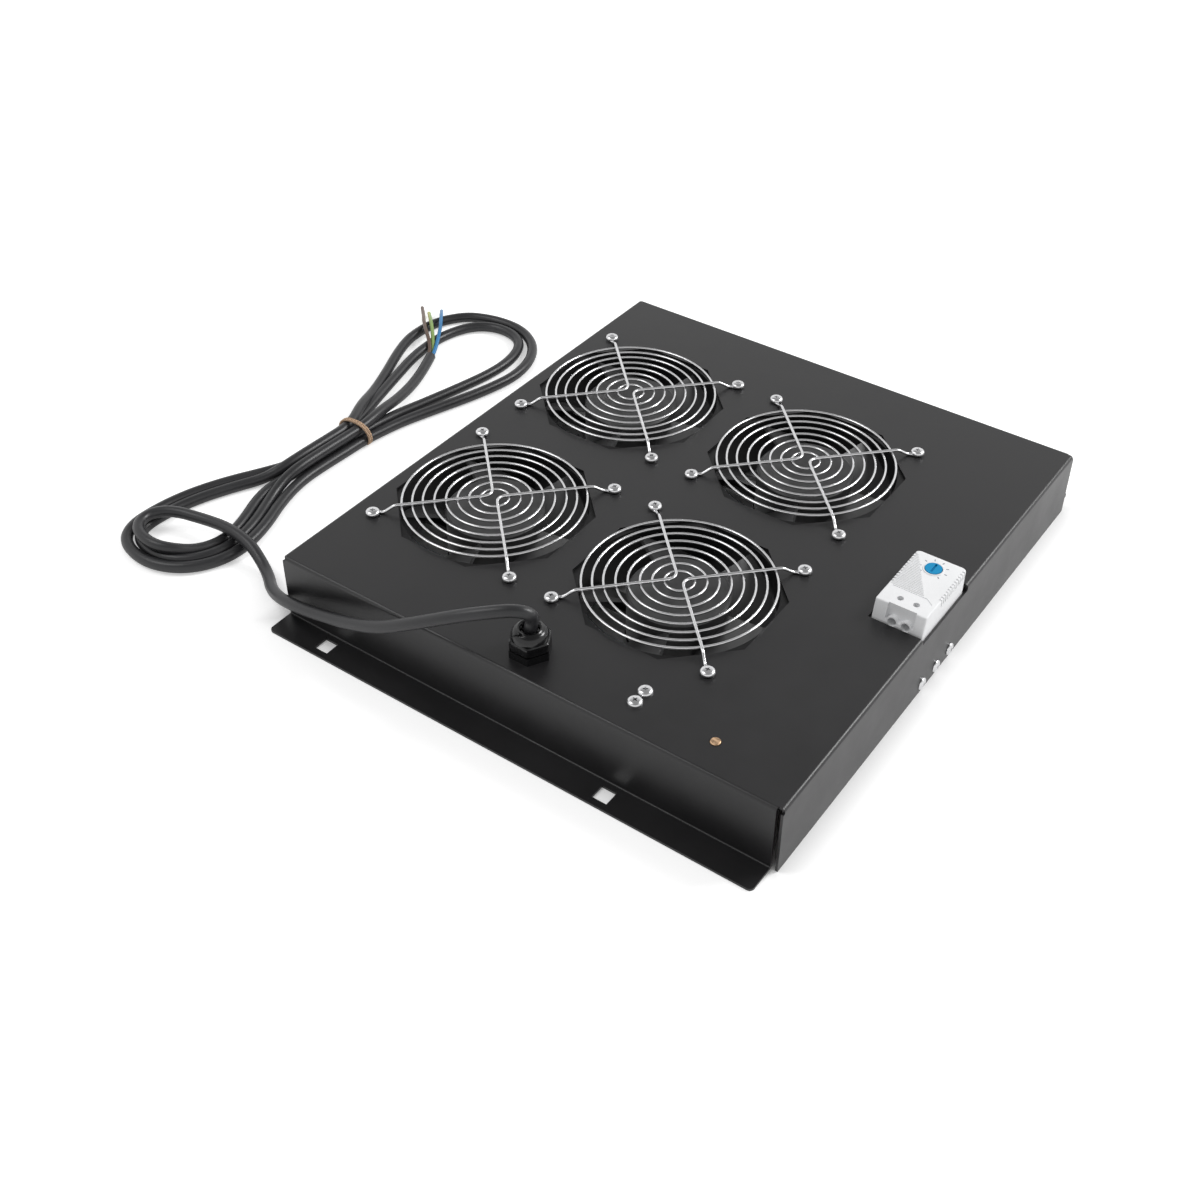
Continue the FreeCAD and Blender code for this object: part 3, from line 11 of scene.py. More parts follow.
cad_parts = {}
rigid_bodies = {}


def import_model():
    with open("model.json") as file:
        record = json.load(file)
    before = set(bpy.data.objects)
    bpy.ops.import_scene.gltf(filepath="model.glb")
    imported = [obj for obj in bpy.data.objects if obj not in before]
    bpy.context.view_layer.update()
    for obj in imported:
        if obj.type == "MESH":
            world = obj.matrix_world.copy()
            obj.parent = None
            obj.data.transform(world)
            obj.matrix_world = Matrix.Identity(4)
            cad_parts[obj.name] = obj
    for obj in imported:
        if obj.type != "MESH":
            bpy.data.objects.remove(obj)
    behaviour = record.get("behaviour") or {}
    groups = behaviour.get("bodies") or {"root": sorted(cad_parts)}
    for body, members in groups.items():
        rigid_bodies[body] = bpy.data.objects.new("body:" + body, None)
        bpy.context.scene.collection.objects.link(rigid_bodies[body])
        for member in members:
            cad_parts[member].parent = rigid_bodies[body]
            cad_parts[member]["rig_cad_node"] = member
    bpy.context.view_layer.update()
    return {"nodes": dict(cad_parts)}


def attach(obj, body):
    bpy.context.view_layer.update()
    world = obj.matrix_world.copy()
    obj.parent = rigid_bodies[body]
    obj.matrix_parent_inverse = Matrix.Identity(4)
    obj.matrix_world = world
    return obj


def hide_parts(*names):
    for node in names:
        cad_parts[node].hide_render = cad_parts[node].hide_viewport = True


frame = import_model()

log = logging.getLogger("rack_fan_tray")
Pair = tuple[float, float]
Point = tuple[float, float, float]
Shape = bmesh.types.BMesh
Piece = bpy.types.Object
Socket = bpy.types.NodeSocket
MM = 0.001

# Node helpers


def grey(level: float) -> tuple[float, float, float, float]:
    """A grey of one level, as a node's colour."""
    return (level, level, level, 1.0)


class Tree:
    """The node tree of a material or a world, with short ways to grow it."""

    def __init__(self, owner: bpy.types.ID) -> None:
        """Switch the owner's nodes on.

        Args:
            owner: the material or the world.
        """
        owner.use_nodes = True
        self.nodes = owner.node_tree.nodes
        self.link = owner.node_tree.links.new

    def add(self, kind: str, operation: str = "", **values: object) -> bpy.types.Node:
        """Add a node and fill in its inputs.

        Args:
            kind: the node's type, without the word ShaderNode.
            operation: what a math node does.
            values: an input's name, with _ for its spaces, and its value.

        Returns:
            The new node.
        """
        node = self.nodes.new(f"ShaderNode{kind}")
        if operation:
            node.operation = operation
        for name, value in values.items():
            node.inputs[name.replace("_", " ")].default_value = value
        return node

    def reckon(self, kind: str, first: Socket, second: Socket | float) -> Socket:
        """Join two values with a math node.

        Args:
            kind: the math node's operation.
            first: the first value.
            second: the second value, a socket or a number.

        Returns:
            The result's socket.
        """
        node = self.add("Math", kind)
        self.link(first, node.inputs[0])
        if isinstance(second, float):
            node.inputs[1].default_value = second
        else:
            self.link(second, node.inputs[1])
        return node.outputs[0]


# Camera and studio


@dataclass(frozen=True)
class ProductCamera:
    """The camera at the angle of the product picture.

    Attributes:
        place: where the camera stands, in metres.
        across, up, back: its own axes in the row frame.
        lens: focal length in millimetres on a 36 mm sensor.
        shift: sideways and upward shift of the frame.
    """

    place: Point = (0.39234, -0.65081, 0.62051)
    across: Point = (0.820898, 0.570939, 0.012485)
    up: Point = (-0.358414, 0.498062, 0.789604)
    back: Point = (0.444597, -0.652659, 0.61349)
    lens: float = 46.59
    shift: Pair = (-0.02345, -0.0667)

    def build(self) -> Piece:
        """Put the camera in the scene and make it the active one.

        Returns:
            The camera object.
        """
        data = bpy.data.cameras.new("product_camera")
        data.sensor_width = 36.0
        data.sensor_fit = "HORIZONTAL"
        data.lens = self.lens
        data.shift_x, data.shift_y = self.shift
        data.clip_start, data.clip_end = 0.02, 60.0
        camera = bpy.data.objects.new("product_camera", data)
        turn = Matrix((self.across, self.up, self.back)).transposed().to_4x4()
        camera.matrix_world = Matrix.Translation(self.place) @ turn
        bpy.context.scene.collection.objects.link(camera)
        bpy.context.scene.camera = camera
        return camera


@dataclass(frozen=True)
class SoftBox:
    """A square studio lamp with a diffuser.

    Attributes:
        name: the lamp's name.
        place: the middle of its face, in metres.
        side: length of its side, in metres.
        power: its power in watts.
    """

    name: str
    place: Point
    side: float
    power: float

    def build(self) -> None:
        """Hang the lamp so that it faces the middle of the tray."""
        data = bpy.data.lights.new(self.name, "AREA")
        data.shape = "SQUARE"
        data.size = self.side
        data.energy = self.power
        lamp = bpy.data.objects.new(self.name, data)
        lamp.location = self.place
        aim = -Vector(self.place)
        lamp.rotation_euler = aim.to_track_quat("-Z", "Y").to_euler()
        bpy.context.scene.collection.objects.link(lamp)


@dataclass(frozen=True)
class Studio:
    """The pale floor, the even light of the room and its lamps.

    Attributes:
        floor_side: side of the floor, in metres.
        floor_colour: how pale the floor is.
        near_glow: what the camera sees added to the floor beside the tray; under it, nothing.
        far_glow: what it sees added far from the tray.
        mirror_glow: what a reflection sees added to the floor.
        room_even: strength of the light that the room gives.
        room_low: how bright a reflection sees the room near the floor.
        room_high: how bright a reflection sees the room overhead.
        room_fade: between which heights of a unit ray the room goes from low to high.
        under_half: half the width and depth of the floor that the tray covers.
        near_reach: how far from the tray the floor has its near glow, in metres.
        sink: how far the floor lies below the part, in metres.
        lamps: the soft boxes.
    """

    floor_side: float = 14.0
    floor_colour: float = 0.9
    near_glow: float = 0.4
    far_glow: float = 0.7
    mirror_glow: float = 0.19
    room_even: float = 0.54
    room_low: float = 1.0
    room_high: float = 0.29
    room_fade: Pair = (0.52, 0.8)
    under_half: Pair = (0.165, 0.183)
    near_reach: float = 0.02
    sink: float = 0.0002
    lamps: tuple[SoftBox, ...] = (
        SoftBox("key_lamp", (1.2, 1.5, 1.6), 0.9, 38.0),
        SoftBox("fill_lamp", (-1.03, -0.66, 1.83), 0.9, 10.5),
    )

    def floor_material(self) -> bpy.types.Material:
        """The pale, matt floor, which keeps the shadows.

        Returns:
            The material.
        """
        material = bpy.data.materials.new("studio_floor")
        tree = Tree(material)
        tree.nodes.clear()
        output, both, glow = tree.add("OutputMaterial"), tree.add("AddShader"), tree.add("Emission")
        matt = tree.add("BsdfDiffuse", Color=grey(self.floor_colour))
        folded, sides = tree.add("VectorMath", "ABSOLUTE"), tree.add("SeparateXYZ")
        tree.link(tree.add("TexCoord").outputs["Object"], folded.inputs[0])
        tree.link(folded.outputs["Vector"], sides.inputs["Vector"])
        beside = tree.reckon("SUBTRACT", sides.outputs["X"], self.under_half[0])
        before = tree.reckon("SUBTRACT", sides.outputs["Y"], self.under_half[1])
        ramp = tree.add("ValToRGB")
        stops = ramp.color_ramp.elements
        stops[0].color, stops[1].color = grey(0.0), grey(self.far_glow)
        stops.new(self.near_reach).color = grey(self.near_glow)
        tree.link(tree.reckon("MAXIMUM", beside, before), ramp.inputs["Fac"])
        path = tree.add("LightPath")
        seen = tree.reckon("MULTIPLY", path.outputs["Is Camera Ray"], ramp.outputs["Color"])
        mirror = tree.reckon("MULTIPLY", path.outputs["Is Glossy Ray"], self.mirror_glow)
        tree.link(tree.reckon("MAXIMUM", seen, mirror), glow.inputs["Strength"])
        tree.link(matt.outputs[0], both.inputs[0])
        tree.link(glow.outputs[0], both.inputs[1])
        tree.link(both.outputs[0], output.inputs["Surface"])
        return material

    def build(self) -> None:
        """Lay the floor, light the room and set the plain view transform."""
        sheet = bmesh.new()
        bmesh.ops.create_grid(sheet, x_segments=2, y_segments=2, size=self.floor_side / 2)
        floor = mesh_object("studio_floor", sheet, smooth=False)
        floor.data.transform(Matrix.Translation((0.0, 0.0, -self.sink)))
        floor.data.materials.append(self.floor_material())
        world = bpy.data.worlds.new("studio_room")
        bpy.context.scene.world = world
        tree = Tree(world)
        air = tree.nodes["Background"]
        air.inputs["Color"].default_value = grey(1.0)
        parts, path = tree.add("SeparateXYZ"), tree.add("LightPath")
        tree.link(tree.add("TexCoord").outputs["Generated"], parts.inputs["Vector"])
        fade = tree.add("MapRange", From_Min=self.room_fade[0], From_Max=self.room_fade[1],
                        To_Min=self.room_low, To_Max=self.room_high)
        fade.interpolation_type = "SMOOTHSTEP"
        tree.link(parts.outputs["Z"], fade.inputs["Value"])
        glossy = path.outputs["Is Glossy Ray"]
        mirror = tree.reckon("MULTIPLY", fade.outputs["Result"], glossy)
        even = tree.reckon("MULTIPLY", tree.reckon("SUBTRACT", glossy, 1.0), -self.room_even)
        level = tree.reckon("ADD", mirror, even)
        tree.link(tree.reckon("MAXIMUM", level, path.outputs["Is Camera Ray"]), air.inputs["Strength"])
        for lamp in self.lamps:
            lamp.build()
        bpy.context.scene.view_settings.view_transform = "Standard"


# Finishes


class Grain(Enum):
    """What the fine surface of a finish looks like."""

    ORANGE_PEEL = "powder coat"
    SPARK = "moulded plastic from a spark-eroded tool"
    SMOOTH = "moulded plastic from a polished tool"
    DRAWN = "bright metal wire or a turned part"
    CAST = "sheet steel with a zinc plate"
    SHEATH = "extruded soft sheath"
    FIBRE = "twisted paper string"


SPECKLE = {Grain.ORANGE_PEEL: 0.25, Grain.SPARK: 0.12, Grain.SMOOTH: 0.04, Grain.DRAWN: 0.08,
           Grain.CAST: 0.15, Grain.SHEATH: 0.12, Grain.FIBRE: 0.55}
PATCH_PITCH = 38.0
PATCH_EDGES = (0.3, 0.72)
POLISH_SPREAD = 0.07
LEAST_ROUGH = 0.03
DRAWN_STRETCH = 0.12
STRIPE_NORMAL = (0.747, 0.665, 0.0)
STRIPE_PLACE = -0.1598


@dataclass(frozen=True)
class Finish:
    """One finish, as it is painted, plated or moulded.

    Attributes:
        slot: the record's material slot.
        colour: its colour, linear.
        grain: its fine surface.
        rough: its mean roughness.
        metal: 1 for bare metal.
        spread: how much lighter and darker its patches are.
        relief: depth of the grain in metres.
        pitch: how many grains there are in a metre.
        shine: specular level.
        variant: tells apart two finishes of one slot.
        stripe: a second colour along the piece.
    """

    slot: str
    colour: Point
    grain: Grain
    rough: float = 0.5
    metal: float = 0.0
    spread: float = 0.12
    relief: float = 0.00004
    pitch: float = 900.0
    shine: float = 0.5
    variant: str = ""
    stripe: Point | None = None

    def material(self) -> bpy.types.Material:
        """Build the material, or give the one that is there.

        Returns:
            The material.
        """
        name = f"finish_{self.slot}{self.variant}"
        if name in bpy.data.materials:
            return bpy.data.materials[name]
        material = bpy.data.materials.new(name)
        tree = Tree(material)
        surface = tree.nodes["Principled BSDF"]
        surface.inputs["Metallic"].default_value = self.metal
        surface.inputs["Specular IOR Level"].default_value = self.shine
        place = tree.add("TexCoord").outputs["Object"]
        patches = tree.add("TexNoise", Scale=PATCH_PITCH, Detail=4.0, Roughness=0.55)
        tree.link(place, patches.inputs["Vector"])
        tone = tree.add("ValToRGB")
        dark, pale = tone.color_ramp.elements
        dark.position, pale.position = PATCH_EDGES
        dark.color = tuple(c * (1.0 - self.spread) for c in self.colour) + (1.0,)
        pale.color = tuple(min(1.0, c * (1.0 + self.spread)) for c in self.colour) + (1.0,)
        tree.link(patches.outputs["Fac"], tone.inputs["Fac"])

        stretch = tree.add("Mapping", Scale=(1.0, 1.0, DRAWN_STRETCH if self.grain is Grain.DRAWN else 1.0))
        tree.link(place, stretch.inputs["Vector"])
        grain = self.grain_node(tree)
        tree.link(stretch.outputs["Vector"], grain.inputs["Vector"])
        height = grain.outputs["Fac"] if self.grain is Grain.FIBRE else grain.outputs[0]
        specks = tree.add("Mix")
        specks.data_type, specks.blend_type = "RGBA", "MULTIPLY"
        specks.inputs["Factor"].default_value = SPECKLE[self.grain]
        tree.link(self.striped(tree, place, tone.outputs["Color"]), specks.inputs["A"])
        tree.link(height, specks.inputs["B"])
        tree.link(specks.outputs["Result"], surface.inputs["Base Color"])

        polish = tree.add("MapRange", To_Min=max(LEAST_ROUGH, self.rough - POLISH_SPREAD),
                          To_Max=min(1.0, self.rough + POLISH_SPREAD))
        tree.link(patches.outputs["Fac"], polish.inputs["Value"])
        tree.link(polish.outputs["Result"], surface.inputs["Roughness"])
        bump = tree.add("Bump", Strength=1.0, Distance=self.relief)
        tree.link(height, bump.inputs["Height"])
        tree.link(bump.outputs["Normal"], surface.inputs["Normal"])
        return material

    def striped(self, tree: Tree, place: Socket, tone: Socket) -> Socket:
        """Lay the second colour beside the first one, if there is one.

        Args:
            tree: the material's tree.
            place: the piece's own coordinates.
            tone: the first colour.

        Returns:
            The socket with the colour.
        """
        if self.stripe is None:
            return tone
        side = tree.add("VectorMath", "DOT_PRODUCT")
        side.inputs[1].default_value = STRIPE_NORMAL
        tree.link(place, side.inputs[0])
        pair = tree.add("Mix")
        pair.data_type = "RGBA"
        pair.inputs["B"].default_value = (*self.stripe, 1.0)
        tree.link(tree.reckon("GREATER_THAN", side.outputs["Value"], STRIPE_PLACE), pair.inputs["Factor"])
        tree.link(tone, pair.inputs["A"])
        return pair.outputs["Result"]

    def grain_node(self, tree: Tree) -> bpy.types.Node:
        """The pattern of the fine grain.

        Args:
            tree: the material's tree.

        Returns:
            The texture node.
        """
        if self.grain is Grain.FIBRE:
            twist = tree.add("TexWave", Scale=self.pitch / 20.0, Distortion=3.0, Detail=3.0)
            twist.bands_direction = "DIAGONAL"
            return twist
        if self.grain is Grain.CAST:
            return tree.add("TexVoronoi", Scale=self.pitch)
        return tree.add("TexNoise", Scale=self.pitch, Detail=2.0, Roughness=0.45)

    def dress(self, *pieces: Piece) -> None:
        """Give the finish to pieces, in every one of their material slots.

        Args:
            pieces: the objects to dress.
        """
        material = self.material()
        for piece in pieces:
            if not piece.material_slots:
                piece.data.materials.append(material)
            for place in piece.material_slots:
                place.material = material


@dataclass(frozen=True)
class Palette:
    """Every finish of the tray, by the piece that has it."""

    panel: Finish = Finish("panel", (0.0092, 0.0088, 0.0097), Grain.ORANGE_PEEL, 0.38, relief=0.00002, pitch=1300.0,
                           shine=0.55)
    fan_frame: Finish = Finish("fan_frame", (0.004, 0.004, 0.0045), Grain.CAST, 0.5, relief=0.00002, pitch=700.0,
                               shine=0.3)
    fan_rotor: Finish = Finish("fan_rotor", (0.045, 0.045, 0.046), Grain.SPARK, 0.42, relief=0.00001, pitch=1500.0)
    stator: Finish = Finish("stator", (0.34, 0.12, 0.05), Grain.DRAWN, 0.35, metal=0.6)
    shaft: Finish = Finish("shaft", (0.62, 0.62, 0.63), Grain.DRAWN, 0.22, metal=1.0, relief=0.000005)
    bearing: Finish = Finish("bearing", (0.45, 0.38, 0.26), Grain.DRAWN, 0.3, metal=1.0, relief=0.000005)
    guard: Finish = Finish("guard", (0.78, 0.78, 0.79), Grain.DRAWN, 0.2, metal=1.0, spread=0.05, relief=0.000006)
    screw: Finish = Finish("screw", (0.76, 0.76, 0.77), Grain.DRAWN, 0.24, metal=1.0, spread=0.06, relief=0.000006)
    thermostat: Finish = Finish("thermostat", (0.85, 0.855, 0.865), Grain.SPARK, 0.46, spread=0.03,
                                relief=0.00001, pitch=1600.0)
    marks: Finish = Finish("thermostat", (0.2, 0.22, 0.27), Grain.SMOOTH, 0.5, spread=0.05, relief=0.000004,
                           variant="_marks")
    dial: Finish = Finish("dial", (0.0, 0.25, 0.50), Grain.SMOOTH, 0.5, shine=0.3, spread=0.05, relief=0.000004)
    clip: Finish = Finish("clip", (0.60, 0.61, 0.63), Grain.SPARK, 0.46, spread=0.03, relief=0.00001, pitch=1600.0)
    bracket: Finish = Finish("bracket", (0.52, 0.53, 0.55), Grain.CAST, 0.34, metal=1.0, relief=0.000008, pitch=260.0)
    block: Finish = Finish("block", (0.62, 0.61, 0.57), Grain.SMOOTH, 0.4, spread=0.04, relief=0.000006)
    brass: Finish = Finish("brass", (0.72, 0.47, 0.27), Grain.DRAWN, 0.3, metal=1.0, spread=0.14, relief=0.000006)
    stud: Finish = Finish("brass", (0.80, 0.52, 0.32), Grain.SMOOTH, 0.3, metal=1.0, spread=0.3, relief=0.0007,
                          pitch=330.0, variant="_cut")
    gland: Finish = Finish("gland", (0.004, 0.004, 0.0045), Grain.SMOOTH, 0.2, spread=0.1, relief=0.000012,
                           pitch=420.0)
    seal: Finish = Finish("seal", (0.01, 0.01, 0.01), Grain.SHEATH, 0.7, relief=0.00001)
    sheath: Finish = Finish("sheath", (0.022, 0.022, 0.024), Grain.SHEATH, 0.38, spread=0.14, relief=0.000015,
                            pitch=500.0)
    tie: Finish = Finish("tie", (0.68, 0.46, 0.30), Grain.FIBRE, 0.8, relief=0.0003, pitch=9000.0)
    core_brown: Finish = Finish("core_brown", (0.12, 0.075, 0.055), Grain.SMOOTH, 0.4, relief=0.000006)
    core_green: Finish = Finish("core_green", (0.52, 0.52, 0.13), Grain.SMOOTH, 0.4, relief=0.000006,
                                stripe=(0.24, 0.36, 0.10))
    core_blue: Finish = Finish("core_blue", (0.03, 0.19, 0.42), Grain.SMOOTH, 0.4, relief=0.000006)


PALETTE = Palette()

# Mesh helpers


def mesh_object(name: str, shape: Shape, smooth: bool = True, angle: float = 35.0) -> Piece:
    """Turn a bmesh into an object at the origin.

    Args:
        name: the object's name.
        shape: the bmesh, in metres in the row frame; it is freed.
        smooth: whether its faces are shaded smooth.
        angle: edges sharper than this many degrees stay sharp.

    Returns:
        The new object.
    """
    data = bpy.data.meshes.new(name)
    shape.to_mesh(data)
    shape.free()
    piece = bpy.data.objects.new(name, data)
    bpy.context.scene.collection.objects.link(piece)
    if smooth:
        data.shade_smooth()
        data.set_sharp_from_angle(angle=math.radians(angle))
    return piece


def turned_shape(profile: list[Pair], steps: int, closed: bool = False) -> Shape:
    """Turn a profile of (radius, height) points about the vertical axis.

    Args:
        profile: the points in metres, from the bottom to the top.
        steps: facets in a full turn.
        closed: whether the profile is a closed loop away from the axis.

    Returns:
        The turned shape.
    """
    shape = bmesh.new()
    corners = [shape.verts.new((radius, 0.0, height)) for radius, height in profile]
    pairs = list(zip(corners, corners[1:]))
    if closed:
        pairs.append((corners[-1], corners[0]))
    line = [shape.edges.new(pair) for pair in pairs]
    bmesh.ops.spin(shape, geom=corners + line, cent=(0, 0, 0), axis=(0, 0, 1), angle=math.tau,
                   steps=steps, use_merge=True)
    bmesh.ops.remove_doubles(shape, verts=shape.verts[:], dist=1e-7)
    bmesh.ops.recalc_face_normals(shape, faces=shape.faces[:])
    return shape


def loft(rings: list[list[Point]]) -> Shape:
    """Skin a row of closed outlines that have equally many points, and fill the first and the last.

    Args:
        rings: the outlines, from the bottom to the top.

    Returns:
        The closed shape.
    """
    shape = bmesh.new()
    loops = [[shape.verts.new(point) for point in ring] for ring in rings]
    count = len(loops[0])
    for low, high in zip(loops, loops[1:]):
        for k in range(count):
            shape.faces.new((low[k], low[(k + 1) % count], high[(k + 1) % count], high[k]))
    shape.faces.new(loops[0][::-1])
    shape.faces.new(loops[-1])
    bmesh.ops.recalc_face_normals(shape, faces=shape.faces[:])
    return shape


def prism(outline: list[Pair], start: float, end: float, lie: Matrix) -> Shape:
    """Raise a flat outline into a closed bar.

    Args:
        outline: the outline's corners.
        start: where the bar starts, along the outline's normal.
        end: where it ends.
        lie: how the bar lies in the row frame.

    Returns:
        The closed bar.
    """
    shape = loft([[(x, y, z) for x, y in outline] for z in (start, end)])
    bmesh.ops.transform(shape, matrix=lie, verts=shape.verts[:])
    bmesh.ops.recalc_face_normals(shape, faces=shape.faces[:])
    return shape


def box_shape(low: Point, high: Point) -> Shape:
    """A box between two corners.

    Args:
        low: the lower corner.
        high: the upper corner.

    Returns:
        The box.
    """
    outline = [(low[0], low[1]), (high[0], low[1]), (high[0], high[1]), (low[0], high[1])]
    return prism(outline, low[2], high[2], Matrix.Identity(4))


def round_bar(radius: float, start: float, end: float, lie: Matrix, steps: int = 28) -> Shape:
    """A round bar along the normal of its place.

    Args:
        radius: its radius.
        start: where it starts.
        end: where it ends.
        lie: how it lies in the row frame.
        steps: facets in a full turn.

    Returns:
        The closed bar.
    """
    outline = [(radius * math.cos(math.tau * k / steps), radius * math.sin(math.tau * k / steps))
               for k in range(steps)]
    return prism(outline, start, end, lie)


def gathered(shapes: list[Shape], places: tuple[Matrix, ...] = (Matrix(),)) -> Shape:
    """Put shapes into one bmesh, once at each place.

    Args:
        shapes: the shapes; they are freed.
        places: where the copies go.

    Returns:
        The bmesh with all of them.
    """
    together = bmesh.new()
    for shape in shapes:
        single = bpy.data.meshes.new("single")
        shape.to_mesh(single)
        shape.free()
        for place in places:
            copy = single.copy()
            copy.transform(place)
            together.from_mesh(copy)
            bpy.data.meshes.remove(copy)
        bpy.data.meshes.remove(single)
    return together


def surface_of(piece: Piece) -> Shape:
    """Take an object's finished surface and remove the object.

    Args:
        piece: a curve, or a mesh with its modifiers.

    Returns:
        Its surface as a bmesh.
    """
    graph = bpy.context.evaluated_depsgraph_get()
    data = bpy.data.meshes.new_from_object(piece.evaluated_get(graph))
    shape = bmesh.new()
    shape.from_mesh(data)
    bpy.data.meshes.remove(data)
    bpy.data.objects.remove(piece)
    return shape


def carved(body: Shape, cutters: list[Shape]) -> Shape:
    """Cut shapes out of a body.

    Args:
        body: the body; it is freed.
        cutters: the shapes that are taken away; they are freed.

    Returns:
        What is left of the body.
    """
    kept = mesh_object("carved_body", body, smooth=False)
    tool = mesh_object("carving_tool", gathered(cutters), smooth=False)
    cut = kept.modifiers.new("cut", "BOOLEAN")
    cut.operation = "DIFFERENCE"
    cut.solver = "EXACT"
    cut.use_self = True
    cut.object = tool
    shape = surface_of(kept)
    bpy.data.objects.remove(tool)
    return shape


def curve_object(name: str, points: list[Point], radius: float, rounds: int = 3, steps: int = 8,
                 closed: bool = False) -> Piece:
    """A round bar on one smooth NURBS spline.

    Args:
        name: the object's name.
        points: the control points, in metres.
        radius: radius of the bar, in metres.
        rounds: how finely its section is rounded.
        steps: how finely each stretch is drawn.
        closed: whether it runs back into its start.

    Returns:
        The curve object.
    """
    data = bpy.data.curves.new(name, "CURVE")
    data.dimensions = "3D"
    data.bevel_depth = 1.0
    data.bevel_resolution = rounds
    data.use_fill_caps = True
    spline = data.splines.new("NURBS")
    spline.points.add(len(points) - 1)
    for place, point in zip(spline.points, points):
        place.co = (*point, 1.0)
        place.radius = radius
    spline.order_u = 3
    spline.use_endpoint_u = not closed
    spline.use_cyclic_u = closed
    spline.resolution_u = steps
    piece = bpy.data.objects.new(name, data)
    bpy.context.scene.collection.objects.link(piece)
    return piece


def curve_shape(curve: Piece) -> Shape:
    """Take a bar's curve as a bmesh and remove the curve.

    Args:
        curve: the curve object.

    Returns:
        Its surface as a bmesh.
    """
    shape = surface_of(curve)
    bmesh.ops.remove_doubles(shape, verts=shape.verts[:], dist=1e-6)
    bmesh.ops.recalc_face_normals(shape, faces=shape.faces[:])
    return shape


def millimetres(points: list[tuple[float, ...]]) -> list[Point]:
    """A route written in millimetres, in metres."""
    return [(x * MM, y * MM, (height[0] if height else LYING) * MM) for x, y, *height in points]


# Mains lead

# Routes in millimetres; a point without a height lies on the floor.
LYING = 3.75
LEAD_ROUTE = [
    (-1.5, -165, 54), (-1.2, -165, 62.5), (1, -164.6, 69.5), (0.4, -167.5, 75), (-6, -172.8, 77.5), (-16.5, -180, 76),
    (-33, -188, 70.5), (-58, -195, 57.5), (-85, -198.5, 42), (-122, -195.5, 28), (-158, -194.2, 20),
    (-183, -185.2, 11), (-201, -171, 5),
]
TOP_TURN = [
    (-213, -165, 6.6), (-225, -161, 11), (-238, -159, 12.3), (-251, -158, 12.2), (-264, -158.5, 11),
    (-276, -160.5, 10.6), (-287.5, -164, 11.4), (-296, -169.5, 11.8), (-301, -178, 11.7), (-298.5, -188, 11.6),
    (-288.5, -194.5, 11.6), (-274, -196, 11.4), (-263.5, -190.5, 9.6), (-257, -181, 5.4), (-252.5, -170, 3.8),
    (-250.8, -157), (-254.6, -141), (-265.5, -115.5), (-267, -95), (-264.6, -76), (-263.5, -52), (-262, -27),
]
INNER_TURN = [
    (-260, -8), (-257, 9), (-252, 27), (-247, 46), (-242, 66), (-237.5, 87), (-236, 107), (-239, 124),
    (-246.5, 137.5), (-259.5, 144), (-274, 144), (-286.5, 138), (-294.5, 126.5), (-299.5, 109), (-299.5, 91),
    (-297.5, 73), (-290.5, 47), (-283.5, 21), (-276.5, -2), (-270.2, -26), (-271.5, -54), (-273.5, -77),
    (-282.5, -95), (-293.5, -114), (-302, -133),
]
OUTER_TURN = [
    (-307, -150), (-309.5, -167), (-309.5, -183), (-303.5, -195.5), (-290.5, -202.5), (-271, -204.5),
    (-252.5, -197.5), (-239.5, -182.5), (-234.5, -163), (-239, -138), (-250.5, -110), (-256, -86), (-255.6, -62),
    (-254.5, -42), (-254, -27), (-251.5, -12), (-248, 5), (-242, 23), (-236, 40), (-230, 57), (-224.5, 76),
    (-220.5, 97), (-223, 117), (-231, 134), (-243.5, 146), (-259, 152.5), (-275.5, 153), (-290.5, 149.5),
    (-303, 143.5), (-313, 130.5), (-318, 116), (-318.5, 100), (-316.5, 87), (-309, 67), (-299, 45), (-289, 21, 4.2),
    (-279, -3, 9.6),
]
LAST_TURN = [
    (-266.2, -27, 11), (-267.6, -52, 10.8), (-268.7, -74, 10.6), (-271, -88, 8.6), (-276.8, -100, 4.2),
    (-286.5, -117), (-294.8, -136), (-299.5, -152), (-301.8, -167), (-301.8, -180.5), (-297, -189.5), (-287, -194.8),
    (-271.5, -196.6), (-257, -191), (-247, -179), (-242.4, -162), (-246.8, -139), (-257.8, -113, 4), (-261, -97, 8.2),
    (-260.3, -84, 10.8), (-259.8, -66, 11), (-259, -46, 11.1), (-258.2, -27, 11.1),
]
LOOSE_END = [
    (-259, -13, 11.5), (-261.5, 0, 11), (-266, 20, 7), (-272.5, 43, 3.9), (-280.5, 66), (-288, 82.5, 3.8),
]
TIE_LOOP = [
    (-275.2, 7.0), (-274.3, 2.2), (-271.0, -0.05), (-262.0, -0.3), (-253.5, -0.1), (-249.6, 2.4), (-248.6, 6.5),
    (-250.6, 11.8), (-255.5, 15.6), (-262.0, 16.2), (-268.4, 15.8), (-273.2, 12.4),
]
CORE_ROUTES = {
    "brown": [
        (-289.41, 81.97, 4.65), (-292.1, 87.1, 5.4), (-298.5, 93.5, 9.4), (-309, 102, 10.3), (-320, 112.5, 9.3),
        (-331, 124.5, 5.2), (-342, 135.5, 2.2),
    ],
    "green_yellow": [
        (-288.04, 82.59, 2.15), (-290.4, 87.9, 3), (-297, 96.5, 9), (-306.5, 106.5, 10.3), (-317.5, 117.5, 9.2),
        (-332, 132, 2.4),
    ],
    "blue": [
        (-286.67, 83.21, 4.65), (-288.9, 88.9, 5.4), (-294.5, 99.5, 9.2), (-302, 111, 10.3), (-311.5, 123, 10.1),
        (-319.5, 132.5, 6.6), (-326.5, 140.5, 2.2),
    ],
}


